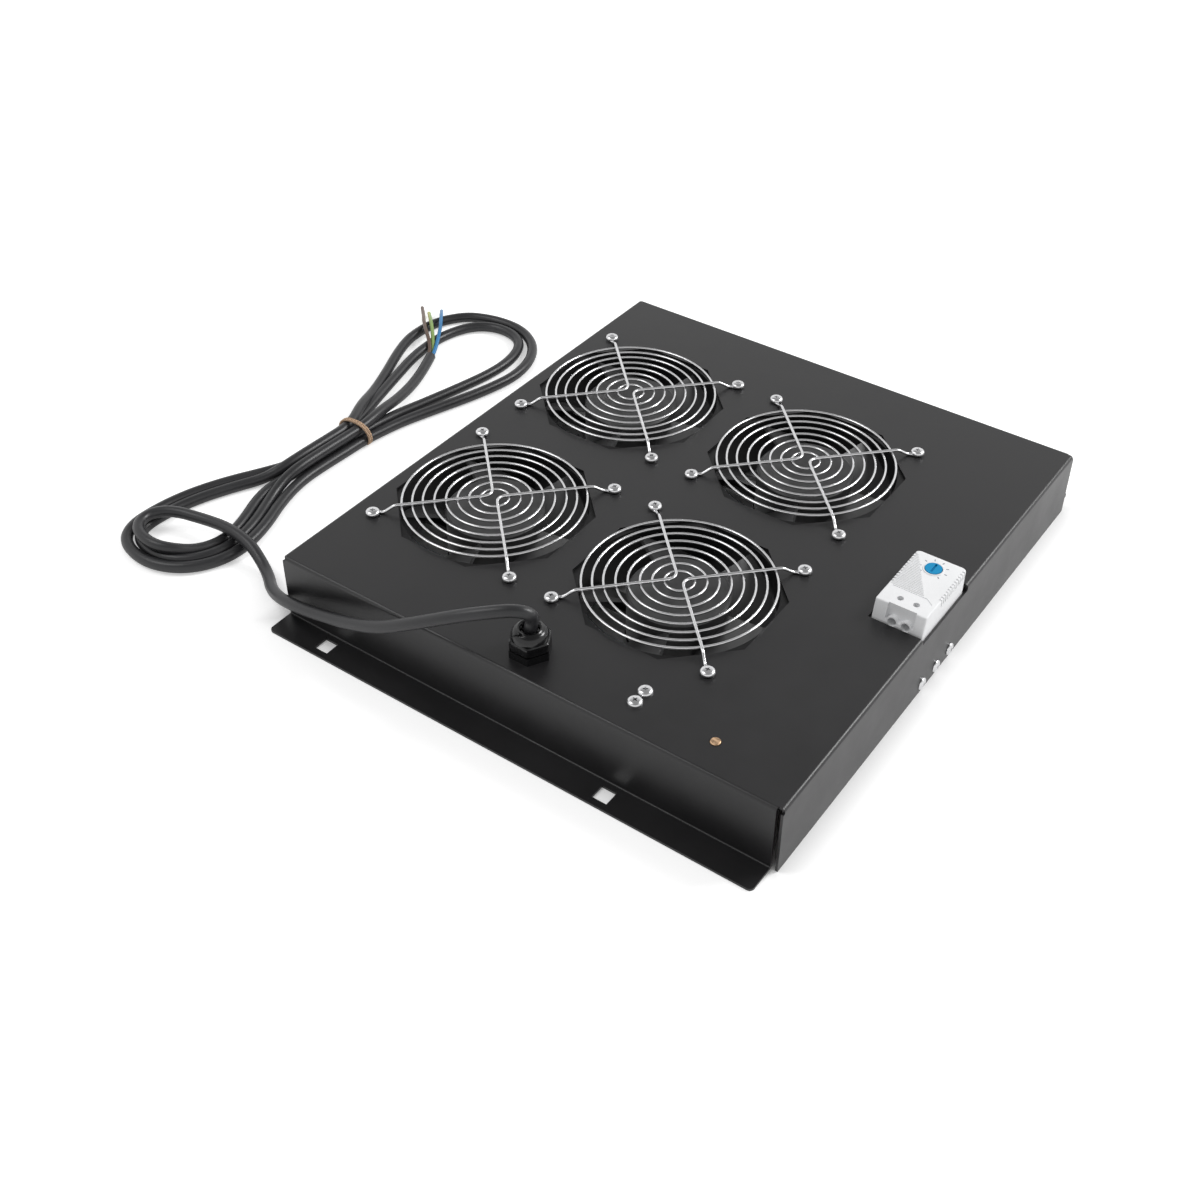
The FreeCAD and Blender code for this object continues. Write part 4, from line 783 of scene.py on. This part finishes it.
def spline_length(curve: Piece) -> float:
    """Length of a bar's centre line.

    Args:
        curve: the curve object.

    Returns:
        The length in metres.
    """
    depth = curve.data.bevel_depth
    curve.data.bevel_depth = 0.0
    graph = bpy.context.evaluated_depsgraph_get()
    graph.update()
    data = bpy.data.meshes.new_from_object(curve.evaluated_get(graph))
    length = sum((data.vertices[e.vertices[0]].co - data.vertices[e.vertices[1]].co).length for e in data.edges)
    bpy.data.meshes.remove(data)
    curve.data.bevel_depth = depth
    return length


@dataclass
class MainsLead:
    """The mains lead with its tied hank and the three free cores.

    Attributes:
        radius: radius of the sheath.
        core_radius: radius of a core.
        tie_row: where the tie sits along the tray's depth.
        tie_middle, tie_low: middle and lowest level of the tie's loop, in millimetres.
        tie_lean: how far the tie leans for each millimetre across.
        strand, strand_gap: radius and distance of the tie's two strands.
        pieces: the finished pieces.
    """

    radius: float = 3.75 * MM
    core_radius: float = 1.4 * MM
    tie_row: float = -27.0 * MM
    tie_middle: float = -262.0
    tie_low: float = 0.9
    tie_lean: float = 0.064
    strand: float = 0.95 * MM
    strand_gap: float = 1.7 * MM
    pieces: list[Piece] = field(default_factory=list)

    def build(self) -> None:
        """Lay the lead, its cores and the tie."""
        route = millimetres(LEAD_ROUTE + TOP_TURN + INNER_TURN + OUTER_TURN + LAST_TURN + LOOSE_END)
        lead = curve_object("mains_lead", route, self.radius, rounds=5, steps=6)
        PALETTE.sheath.dress(lead)
        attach(lead, "tray")
        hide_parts("cord_tube", "cord_hank", "cord_end")
        tie = self.tie()
        cores = self.cores(Vector(route[-1]))
        round(spline_length(lead), 3)
        self.pieces = [lead, tie, *cores]

    def tie(self) -> Piece:
        """The twisted paper tie round the waist of the hank.

        Returns:
            The tie.
        """
        route = [(across * MM, self.tie_row + self.tie_lean * (across - self.tie_middle) * MM,
                  max(up, self.tie_low) * MM) for across, up in TIE_LOOP]
        strand = curve_shape(curve_object("hank_tie_curve", route, self.strand, steps=6, closed=True))
        sides = tuple(Matrix.Translation((0.0, side * self.strand_gap / 2, 0.0)) for side in (-1, 1))
        tie = mesh_object("hank_tie", gathered([strand], sides), angle=60.0)
        PALETTE.tie.dress(tie)
        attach(tie, "tray")
        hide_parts("cord_tie")
        return tie

    def cores(self, end: Vector) -> list[Piece]:
        """The three cores that leave the sheath's end.

        Args:
            end: the sheath's end; not used.

        Returns:
            The three cores.
        """
        looks = {"brown": PALETTE.core_brown, "green_yellow": PALETTE.core_green, "blue": PALETTE.core_blue}
        made = []
        for name, points in CORE_ROUTES.items():
            route = millimetres(points)
            core = curve_object(f"core_{name}_wire", route, self.core_radius, rounds=4, steps=8)
            looks[name].dress(core)
            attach(core, "tray")
            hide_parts(f"core_{name}")
            round(spline_length(core), 4)
            made.append(core)
        return made


# Finger guards and screws


@dataclass
class FingerGuard:
    """A wire finger guard: eight rings welded under two V wires, whose ends curl round the screws.

    Attributes:
        number: which fan it covers.
        across, back: the fan's middle.
        deck: level of the deck.
        half_pitch: half the distance between two screws.
        rings, inner_steps: how many rings it has, and how many of the steps between them are inner ones.
        first_ring: radius of the innermost ring.
        ring_pitch, outer_pitch: steps between the inner rings and the two outermost ones.
        ring_wire, ring_level: radius of the rings' wire and its height over the deck.
        wire, wire_level: radius of the V wires and their height over the deck.
        eyelet: radius of the curl round a screw.
        curl, curl_step, curl_points: where the curl starts, its steps in degrees and its points.
        joggle: how a V wire climbs from its curl, as distances and shares of its height.
        apex: how far the V wires' tips lie from the middle.
        bend: how long the bend at the tip is.
    """

    number: int
    across: float
    back: float
    deck: float = 45.0 * MM
    half_pitch: float = 52.4 * MM
    rings: int = 8
    inner_steps: int = 5
    first_ring: float = 8.8 * MM
    ring_pitch: float = 7.0 * MM
    outer_pitch: float = 6.4 * MM
    ring_wire: float = 0.8 * MM
    ring_level: float = 3.6 * MM
    wire: float = 1.0 * MM
    wire_level: float = 5.1 * MM
    eyelet: float = 2.968 * MM
    curl: float = 330.0
    curl_step: float = 35.0
    curl_points: int = 9
    joggle: tuple[Pair, ...] = (
        (4.9 * MM, 0.0), (6.8 * MM, 0.1 / 4.1), (9.8 * MM, 1.805 / 4.1), (13.2 * MM, 1.0), (17.0 * MM, 1.0),
        (40.0 * MM, 1.0))
    apex: float = 1.1 * MM
    bend: float = 13.5 * MM

    def ring_shapes(self) -> list[Shape]:
        """Turn the eight rings.

        Returns:
            The rings.
        """
        shapes = []
        for k in range(self.rings):
            outer = max(k - self.inner_steps, 0)
            radius = self.first_ring + (k - outer) * self.ring_pitch + outer * self.outer_pitch
            ring = bmesh.new()
            made = bmesh.ops.create_circle(ring, cap_ends=False, segments=8, radius=self.ring_wire)
            bmesh.ops.rotate(ring, verts=made["verts"], cent=(0, 0, 0), matrix=Matrix.Rotation(math.pi / 2, 3, "X"))
            bmesh.ops.translate(ring, verts=made["verts"], vec=(radius, 0.0, self.ring_level))
            bmesh.ops.spin(ring, geom=ring.verts[:] + ring.edges[:], cent=(0, 0, 0), axis=(0, 0, 1),
                           angle=math.tau, steps=40 + 4 * k, use_merge=True)
            bmesh.ops.recalc_face_normals(ring, faces=ring.faces[:])
            shapes.append(ring)
        return shapes

    def wire_route(self, side: int) -> list[Point]:
        """Control points of one V wire, from curl to curl.

        Args:
            side: -1 for the left wire, 1 for the right one.

        Returns:
            The control points.
        """
        points: list[Point] = []
        tip = Vector((side * self.apex, 0.0, self.wire_level))
        for back in (1, -1):
            screw = Vector((side * self.half_pitch, back * self.half_pitch, self.wire))
            inward = (tip - screw)
            inward.z = 0.0
            inward.normalize()
            start = math.atan2(inward.y, inward.x)
            half: list[Point] = []
            for k in range(self.curl_points):
                angle = start + side * back * math.radians(self.curl - k * self.curl_step)
                half.append((screw.x + self.eyelet * math.cos(angle), screw.y + self.eyelet * math.sin(angle),
                             screw.z))
            for reach, share in self.joggle:
                level = self.wire + share * (self.wire_level - self.wire)
                half.append((screw.x + inward.x * reach, screw.y + inward.y * reach, level))
            near = tip - inward * self.bend
            half.append((near.x, near.y, self.wire_level))
            points += half if back == 1 else [(tip.x, tip.y, self.wire_level)] + half[::-1]
        return points

    def build(self) -> Piece:
        """Weld the guard together and set it over its fan.

        Returns:
            The guard.
        """
        wires = [curve_shape(curve_object("v_wire", self.wire_route(side), self.wire, rounds=2, steps=5))
                 for side in (-1, 1)]
        shape = gathered(self.ring_shapes() + wires)
        bmesh.ops.translate(shape, verts=shape.verts[:], vec=(self.across, self.back, self.deck))
        guard = mesh_object(f"wire_guard_{self.number}", shape, angle=50.0)
        PALETTE.guard.dress(guard)
        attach(guard, "tray")
        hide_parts(f"finger_guard_{self.number}")
        return guard


class Axis(Enum):
    """Which way a screw's head points."""

    UP = "up"
    RIGHT = "right"


HEAD_PROFILE = ((0.985, 0.0), (1.0, 0.12), (0.985, 0.36), (0.91, 0.62), (0.76, 0.83), (0.5, 0.95), (0.0, 1.0))


@dataclass
class PanHeads:
    """Pan head screws with a cross recess.

    Attributes:
        name: the piece's name.
        node: the CAD node that they stand for.
        seats: where each head sits on its part.
        head: radius of the head.
        rise: height of the head.
        shank: radius of the thread.
        length: length under the head.
        axis: which way the heads point.
        arm: length, width and height of the recess's arms, as shares of the head's radius and height.
        taper: how much shorter and narrower the arms are at their foot.
        arm_level: level of their middle, as a share of the head's height.
        twist, turn_step: how far the recess is turned, and each screw against the one before it.
    """

    name: str
    node: str
    seats: list[Point] | tuple[Point, ...]
    head: float = 4.4 * MM
    rise: float = 2.4 * MM
    shank: float = 2.0 * MM
    length: float = 16.0 * MM
    axis: Axis = Axis.UP
    arm: Point = (0.86, 0.2, 1.5)
    taper: Pair = (0.45, 0.7)
    arm_level: float = 0.85
    twist: float = 0.6
    turn_step: float = 0.7

    def head_shape(self) -> Shape:
        """Turn one screw and sink its cross recess.

        Returns:
            The screw, head up, with its seat at the origin.
        """
        head, rise = self.head, self.rise
        profile = [(0.0, -self.length), (self.shank * 0.8, -self.length), (self.shank, -self.length + 0.6 * MM),
                   (self.shank, 0.0)] + [(head * out, rise * up) for out, up in HEAD_PROFILE]
        recess = bmesh.new()
        for turn in (0.0, math.pi / 2):
            made = bmesh.ops.create_cube(recess, size=1.0)["verts"]
            bmesh.ops.scale(recess, verts=made, vec=(head * self.arm[0], head * self.arm[1], rise * self.arm[2]))
            low = [v for v in made if v.co.z < 0]
            bmesh.ops.scale(recess, verts=low, vec=(*self.taper, 1.0))
            bmesh.ops.translate(recess, verts=made, vec=(0.0, 0.0, rise * self.arm_level))
            bmesh.ops.rotate(recess, verts=made, cent=(0, 0, 0), matrix=Matrix.Rotation(turn + self.twist, 3, "Z"))
        return carved(turned_shape(profile, 28), [recess])

    def build(self) -> Piece:
        """Make every screw as one piece.

        Returns:
            The screws.
        """
        lie = Matrix.Identity(4) if self.axis is Axis.UP else Matrix.Rotation(math.pi / 2, 4, "Y")
        places = tuple(Matrix.Translation(seat) @ lie @ Matrix.Rotation(self.turn_step * index, 4, "Z")
                       for index, seat in enumerate(self.seats))
        screws = mesh_object(self.name, gathered([self.head_shape()], places), angle=28.0)
        PALETTE.screw.dress(screws)
        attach(screws, "tray")
        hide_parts(self.node)
        return screws


# Thermostat


@dataclass
class ThermostatHousing:
    """The thermostat's moulded housing, with its wire entry, wells, dial seat, ribs and vent slits.

    Attributes:
        left, right: its sides.
        front, front_top, back: its front at the deck, its front at the top and its back.
        bottom, deck, top: its levels.
        corner, front_corner, least_corner: radius of its back and front corners, and the smallest radius.
        edge: how far its top edges are rounded.
        clear: how far the cutters reach past it.
        dial, dial_radius: middle and radius of the dial's seat.
        entry, entry_floor, entry_back: sides, floor and back of the wire entry.
        hole_side, hole_level: how far its two holes lie from its middle, and their level.
        trough, hole, hole_reach: radius of their troughs, their own radius and where they start and end.
        bores: the two wells, the dial's seat and its bore: middle, radius, floor and top in millimetres, facets.
        grooves: the fine grooves: middle, turn in degrees, ends and depth, in millimetres.
        groove: half the width of the grooves.
        step_row: where the first groove runs, behind the wells.
        slits, slit_first, slit_pitch: how many vent slits each side has, and their rows.
        slit, slit_depth, slit_floor: half the slits' width, their depth and their floor.
        rib, rib_pitch, rib_rise, rib_inset: half the ribs' width, their pitch, height and distance from the side.
        rib_first, rib_last, rib_end, rib_slope, rib_least: the ribs' rows, and where they end beside the band.
        rim: profile of the rim round the dial, as millimetres past the seat and over the top.
        sink: how far the ribs stand in the top.
        ticks, tick_start, tick_span: how many ticks there are and where they lie, in degrees.
        tick, tick_reach, tick_rise: half the ticks' width, their ends and their height.
    """

    left: float = 136.0 * MM
    right: float = 167.6 * MM
    front: float = -30.7 * MM
    front_top: float = -28.4 * MM
    back: float = 24.2 * MM
    bottom: float = 16.0 * MM
    deck: float = 45.0 * MM
    top: float = 57.0 * MM
    corner: float = 3.0 * MM
    front_corner: float = 1.2 * MM
    least_corner: float = 0.15 * MM
    edge: float = 0.8 * MM
    clear: float = 2.0 * MM
    dial: Pair = (151.5 * MM, 13.0 * MM)
    dial_radius: float = 5.25 * MM
    entry: Pair = (144.0 * MM, 161.3 * MM)
    entry_floor: float = 47.0 * MM
    entry_back: float = -27.3 * MM
    hole_side: float = 4.2 * MM
    hole_level: float = 46.2 * MM
    trough: float = 3.5 * MM
    hole: float = 2.7 * MM
    hole_reach: Pair = (23.6 * MM, 34.0 * MM)
    bores: tuple[tuple[float, float, float, float, float, int], ...] = (
        (147.8, -21.0, 1.95, 48.0, 59.0, 28), (157.7, -21.0, 1.95, 48.0, 59.0, 28),
        (151.5, 13.0, 5.25, 54.7, 59.0, 48), (151.5, 13.0, 2.05, 45.7, 55.0, 28))
    grooves: tuple[tuple[float, ...], ...] = (
        (149.5, -13.0, 0.0, -10.5, 10.5, 0.5), (162.3, -14.6, -36.0, -2.9, 3.2, 0.4))
    groove: float = 0.3 * MM
    step_row: float = -13.0 * MM
    slits: int = 12
    slit_first: float = -9.4 * MM
    slit_pitch: float = 2.7 * MM
    slit: float = 0.55 * MM
    slit_depth: float = 1.7 * MM
    slit_floor: float = 52.4 * MM
    rib: float = 0.28 * MM
    rib_pitch: float = 1.3 * MM
    rib_rise: float = 0.36 * MM
    rib_inset: float = 1.3 * MM
    rib_first: float = 1.6 * MM
    rib_last: float = 2.2 * MM
    rib_end: float = 158.6 * MM
    rib_slope: float = 0.6
    rib_least: float = 1.2 * MM
    rim: tuple[Pair, ...] = (
        (0.05, -0.1), (0.05, 0.3), (0.2, 0.42), (0.75, 0.42), (0.95, 0.25), (0.95, -0.1))
    sink: float = 0.1 * MM
    ticks: int = 8
    tick_start: float = -45.0
    tick_span: float = 270.0
    tick: float = 0.3 * MM
    tick_reach: Pair = (7.2 * MM, 8.8 * MM)
    tick_rise: float = 0.06 * MM

    def outline(self, inset: float, front: float, level: float) -> list[Point]:
        """One level's outline with rounded corners.

        Args:
            inset: how far it is drawn in from the sides.
            front: where its front runs.
            level: its height.

        Returns:
            The outline's points.
        """
        low_x, high_x = self.left + inset, self.right - inset
        low_y, high_y = front + inset, self.back - inset
        points = []
        for x, y, radius, turn in ((high_x, low_y, self.front_corner, -90), (high_x, high_y, self.corner, 0),
                                   (low_x, high_y, self.corner, 90), (low_x, low_y, self.front_corner, 180)):
            bend = max(radius - inset, self.least_corner)
            middle_x = x - bend if x == high_x else x + bend
            middle_y = y - bend if y == high_y else y + bend
            for k in range(6):
                angle = math.radians(turn + 18 * k)
                points.append((middle_x + bend * math.cos(angle), middle_y + bend * math.sin(angle), level))
        return points

    def body(self) -> Shape:
        """The block with its sloping front and rounded top edges.

        Returns:
            The block.
        """
        rings = [self.outline(0.0, self.front, self.bottom), self.outline(0.0, self.front, self.deck)]
        slope = (self.front_top - self.front) / (self.top - self.deck)
        for k in range(5):
            angle = math.radians(22.5 * k)
            level = self.top - self.edge * (1.0 - math.sin(angle))
            front = self.front + slope * (level - self.deck)
            rings.append(self.outline(self.edge * (1.0 - math.cos(angle)), front, level))
        return loft(rings)

    def cutters(self) -> list[Shape]:
        """Everything that the mould leaves open.

        Returns:
            The shapes to take away.
        """
        over = self.top + self.clear
        lie_back = Matrix.Rotation(math.pi / 2, 4, "X")
        middle = sum(self.entry) / 2
        holes = [middle + side * self.hole_side for side in (-1, 1)]
        floor = [(self.entry[0], self.entry_floor)]
        for hole in holes:
            for k in range(13):
                angle = math.radians(180 - 15 * k)
                floor.append((hole + self.trough * math.cos(angle),
                              max(self.entry_floor, self.hole_level + self.trough * math.sin(angle))))
        floor += [(self.entry[1], self.entry_floor), (self.entry[1], over), (self.entry[0], over)]
        clean = [point for k, point in enumerate(floor) if k == 0 or math.dist(point, floor[k - 1]) > 1e-6]
        shapes = [prism(clean, -self.entry_back, -(self.front - self.clear), lie_back)]
        for hole in holes:
            lie = Matrix.Translation((hole, 0.0, self.hole_level)) @ lie_back
            shapes.append(round_bar(self.hole, *self.hole_reach, lie))
        for across, back, radius, base, head, facets in self.bores:
            lie = Matrix.Translation((across * MM, back * MM, 0.0))
            shapes.append(round_bar(radius * MM, base * MM, head * MM, lie, facets))
        for across, back, turn, start, end, depth in self.grooves:
            bar = box_shape((start * MM, -self.groove, self.top - depth * MM), (end * MM, self.groove, over))
            lie = Matrix.Translation((across * MM, back * MM, 0.0)) @ Matrix.Rotation(math.radians(turn), 4, "Z")
            bmesh.ops.transform(bar, matrix=lie, verts=bar.verts[:])
            shapes.append(bar)
        for k in range(self.slits):
            row = self.slit_first + self.slit_pitch * k
            for side in (self.left, self.right):
                shapes.append(box_shape((side - self.slit_depth, row - self.slit, self.slit_floor),
                                        (side + self.slit_depth, row + self.slit, over)))
        return shapes

    def raised(self) -> list[Shape]:
        """The fine ribs beside the diagonal band and the rim round the dial.

        Returns:
            The raised shapes.
        """
        shapes = []
        level = self.top - self.sink
        start = self.left + self.rib_inset
        row = self.step_row + self.rib_first
        while row < self.back - self.rib_last:
            end = self.rib_end - self.rib_slope * (row - self.step_row)
            if end - start > self.rib_least:
                shapes.append(box_shape((start, row - self.rib, level),
                                        (end, row + self.rib, self.top + self.rib_rise)))
            row += self.rib_pitch
        rim = [(self.dial_radius + out * MM, self.top + up * MM) for out, up in self.rim]
        ring = turned_shape(rim, 56, closed=True)
        bmesh.ops.translate(ring, verts=ring.verts[:], vec=(*self.dial, 0.0))
        shapes.append(ring)
        return shapes

    def marks(self) -> Piece:
        """The short ticks round the dial.

        Returns:
            The ticks.
        """
        shapes = []
        for k in range(self.ticks):
            turn = math.radians(self.tick_start + self.tick_span * k / (self.ticks - 1))
            tick = box_shape((self.tick_reach[0], -self.tick, self.top - self.sink / 2),
                             (self.tick_reach[1], self.tick, self.top + self.tick_rise))
            lie = Matrix.Translation((*self.dial, 0.0)) @ Matrix.Rotation(turn, 4, "Z")
            bmesh.ops.transform(tick, matrix=lie, verts=tick.verts[:])
            shapes.append(tick)
        ticks = mesh_object("thermostat_ticks", gathered(shapes), smooth=False)
        PALETTE.marks.dress(ticks)
        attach(ticks, "tray")
        return ticks

    def build(self) -> Piece:
        """Mould the housing.

        Returns:
            The housing.
        """
        body = carved(self.body(), self.cutters())
        housing = mesh_object("thermostat_case", gathered([body, *self.raised()]), angle=32.0)
        PALETTE.thermostat.dress(housing)
        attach(housing, "tray")
        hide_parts("thermostat_housing")
        return housing


# Cable gland


@dataclass
class GlandDome:
    """The gland's dome nut, with its clamping claws round the lead.

    Attributes:
        across, back, base: the middle of its lower face.
        flats: its width over the flats.
        skirt: height of its hexagon.
        rise: its height.
        lip: radius of its round lip.
        throat: radius of the opening for the lead.
        claws, claw: how many claws hold the lead, and half the width of one.
        bore: radius inside its hexagon.
        shoulder: how far its round shoulder reaches past the lip.
        softened: how far its hexagon's corners reach, as a share of the full corner.
        facets: facets in a full turn of the hexagon.
    """

    across: float = -1.5 * MM
    back: float = -165.0 * MM
    base: float = 50.3 * MM
    flats: float = 22.0 * MM
    skirt: float = 6.5 * MM
    rise: float = 12.0 * MM
    lip: float = 6.6 * MM
    throat: float = 4.0 * MM
    claws: int = 8
    claw: float = 1.05 * MM
    bore: float = 9.15 * MM
    shoulder: float = 3.95 * MM
    softened: float = 0.972
    facets: int = 36

    def skirt_shape(self) -> Shape:
        """The hexagon with softened corners, open in the middle.

        Returns:
            The hexagon.
        """
        reach = self.flats / math.sqrt(3)
        side = self.facets // 6
        rings = []
        for level, share in ((0.0, 0.965), (0.5 * MM, 1.0), (self.skirt - 0.7 * MM, 1.0), (self.skirt, 0.94)):
            ring = []
            for k in range(self.facets):
                first, second = math.radians(60 * (k // side)), math.radians(60 * (k // side + 1))
                blend = k % side / side
                x = reach * (math.cos(first) * (1 - blend) + math.cos(second) * blend)
                y = reach * (math.sin(first) * (1 - blend) + math.sin(second) * blend)
                far = min(math.hypot(x, y), reach * self.softened) * share
                angle = math.atan2(y, x)
                ring.append((far * math.cos(angle), far * math.sin(angle), level))
            rings.append(ring)
        turns = [math.tau * k / self.facets for k in range(self.facets)]
        rings += [[(self.bore * math.cos(turn), self.bore * math.sin(turn), level) for turn in turns]
                  for level in (self.skirt, 0.0)]
        shape = bmesh.new()
        loops = [[shape.verts.new(point) for point in ring] for ring in rings]
        for low, high in zip(loops, loops[1:] + loops[:1]):
            for k in range(self.facets):
                after = (k + 1) % self.facets
                shape.faces.new((low[k], low[after], high[after], high[k]))
        bmesh.ops.recalc_face_normals(shape, faces=shape.faces[:])
        return shape

    def dome_shape(self) -> Shape:
        """The round shoulder with its rolled lip.

        Returns:
            The turned shoulder.
        """
        profile = [(self.bore, self.skirt - 0.4 * MM), (self.lip + self.shoulder, self.skirt - 0.4 * MM)]
        for k in range(9):
            angle = math.radians(10 * k)
            profile.append((self.lip + self.shoulder * math.cos(angle),
                            self.skirt - 0.1 * MM + (self.rise - self.skirt - 0.3 * MM) * math.sin(angle)))
        profile += [(self.lip + 0.1 * MM, self.rise), (self.lip - 0.7 * MM, self.rise - 0.1 * MM),
                    (self.lip - 1.15 * MM, self.rise - 0.65 * MM), (self.lip - 1.2 * MM, self.rise - 2.4 * MM),
                    (self.lip + 0.4 * MM, self.skirt + 1.6 * MM), (self.bore - 0.05 * MM, self.skirt + 0.6 * MM)]
        return turned_shape(profile, 48, closed=True)

    def claw_shapes(self) -> list[Shape]:
        """The claws that bend in over the seal and hold the lead.

        Returns:
            The claws.
        """
        shapes = []
        side = [(self.throat + 0.1 * MM, self.rise - 3.3 * MM), (self.throat + 0.15 * MM, self.rise - 1.5 * MM),
                (self.throat + 0.5 * MM, self.rise - 0.95 * MM), (self.lip - 1.25 * MM, self.rise - 1.3 * MM),
                (self.lip - 1.15 * MM, self.rise - 3.3 * MM)]
        for k in range(self.claws):
            turn = Matrix.Rotation(math.tau * (k + 0.5) / self.claws, 4, "Z")
            lie = turn @ Matrix.Rotation(math.pi / 2, 4, "X")
            shapes.append(prism(side, -self.claw, self.claw, lie))
        return shapes

    def build(self) -> Piece:
        """Mould the dome nut and screw it on.

        Returns:
            The dome nut.
        """
        shape = gathered([self.skirt_shape(), self.dome_shape(), *self.claw_shapes()])
        bmesh.ops.translate(shape, verts=shape.verts[:], vec=(self.across, self.back, self.base))
        dome = mesh_object("gland_dome", shape, angle=40.0)
        PALETTE.gland.dress(dome)
        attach(dome, "tray")
        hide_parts("gland_dome_nut")
        return dome


# The whole tray


@dataclass
class RackFanTray:
    """The whole tray: its dressed CAD nodes and its own pieces.

    Attributes:
        fans: middle of each fan, in metres.
        half_pitch: half the distance between two guard screws.
        guard_seat: level of the guard screws' heads.
        block_seats, bracket_seats: where the heads of the block's and the bracket's screws sit.
    """

    fans: tuple[Pair, ...] = (
        (-100.7 * MM, -71.85 * MM), (34.3 * MM, -71.85 * MM), (-100.7 * MM, 73.65 * MM), (34.3 * MM, 73.65 * MM))
    half_pitch: float = 52.4 * MM
    guard_seat: float = 46.4 * MM
    block_seats: tuple[Point, ...] = ((67.2 * MM, -154.8 * MM, 45.0 * MM), (67.2 * MM, -164.5 * MM, 45.0 * MM))
    bracket_seats: tuple[Point, ...] = tuple((169.3 * MM, back * MM, 6.0 * MM) for back in (-24.0, -6.0, 12.0))

    def dress_nodes(self) -> None:
        """Give every CAD node that shows its finish."""
        nodes = frame["nodes"]
        looks = {
            "tray_panel": PALETTE.panel, "fan_bearings": PALETTE.bearing, "thermostat_dial": PALETTE.dial,
            "thermostat_terminal_screws": PALETTE.screw, "thermostat_clip": PALETTE.clip,
            "thermostat_bracket": PALETTE.bracket, "bracket_nuts": PALETTE.screw,
            "terminal_block": PALETTE.block, "terminal_clamps": PALETTE.brass,
            "terminal_clamp_screws": PALETTE.screw, "terminal_block_nuts": PALETTE.screw,
            "earth_stud": PALETTE.stud, "earth_nuts": PALETTE.brass, "earth_washers": PALETTE.brass,
            "gland_body": PALETTE.gland, "gland_seal": PALETTE.seal, "gland_locknut": PALETTE.gland,
        }
        for k in range(1, 5):
            looks[f"fan_frame_{k}"] = PALETTE.fan_frame
            looks[f"fan_rotor_{k}"] = PALETTE.fan_rotor
            looks[f"fan_stator_{k}"] = PALETTE.stator
            looks[f"fan_shaft_{k}"] = PALETTE.shaft
        for name, finish in looks.items():
            finish.dress(nodes[name])
            log.info("%s has the %s finish", name, finish.slot)

    def build(self) -> None:
        """Build the pieces in order."""
        self.dress_nodes()
        lead = MainsLead()
        lead.build()
        for piece in lead.pieces:
            log.info("built %s", piece.name)
        for number, (across, back) in enumerate(self.fans, start=1):
            guard = FingerGuard(number, across, back).build()
            log.info("built %s", guard.name)
        seats = [(x + i * self.half_pitch, y + j * self.half_pitch, self.guard_seat)
                 for x, y in self.fans for i in (-1, 1) for j in (-1, 1)]
        screws = [
            PanHeads("guard_screw_heads", "guard_screws", seats),
            PanHeads("block_screw_heads", "terminal_block_screws", self.block_seats,
                     shank=1.6 * MM, length=20.0 * MM),
            PanHeads("bracket_screw_heads", "bracket_screws", self.bracket_seats,
                     head=3.9 * MM, rise=1.8 * MM, length=8.0 * MM, axis=Axis.RIGHT),
        ]
        for group in screws:
            log.info("built %s", group.build().name)
        thermostat = ThermostatHousing()
        for piece in (thermostat.build(), thermostat.marks(), GlandDome().build()):
            log.info("built %s", piece.name)


def main() -> None:
    """Build the camera, the studio and the tray."""
    logging.basicConfig(level=logging.INFO, format="%(message)s")
    ProductCamera().build()
    Studio().build()
    RackFanTray().build()
    bpy.context.view_layer.update()


if __name__ == "__main__":
    main()
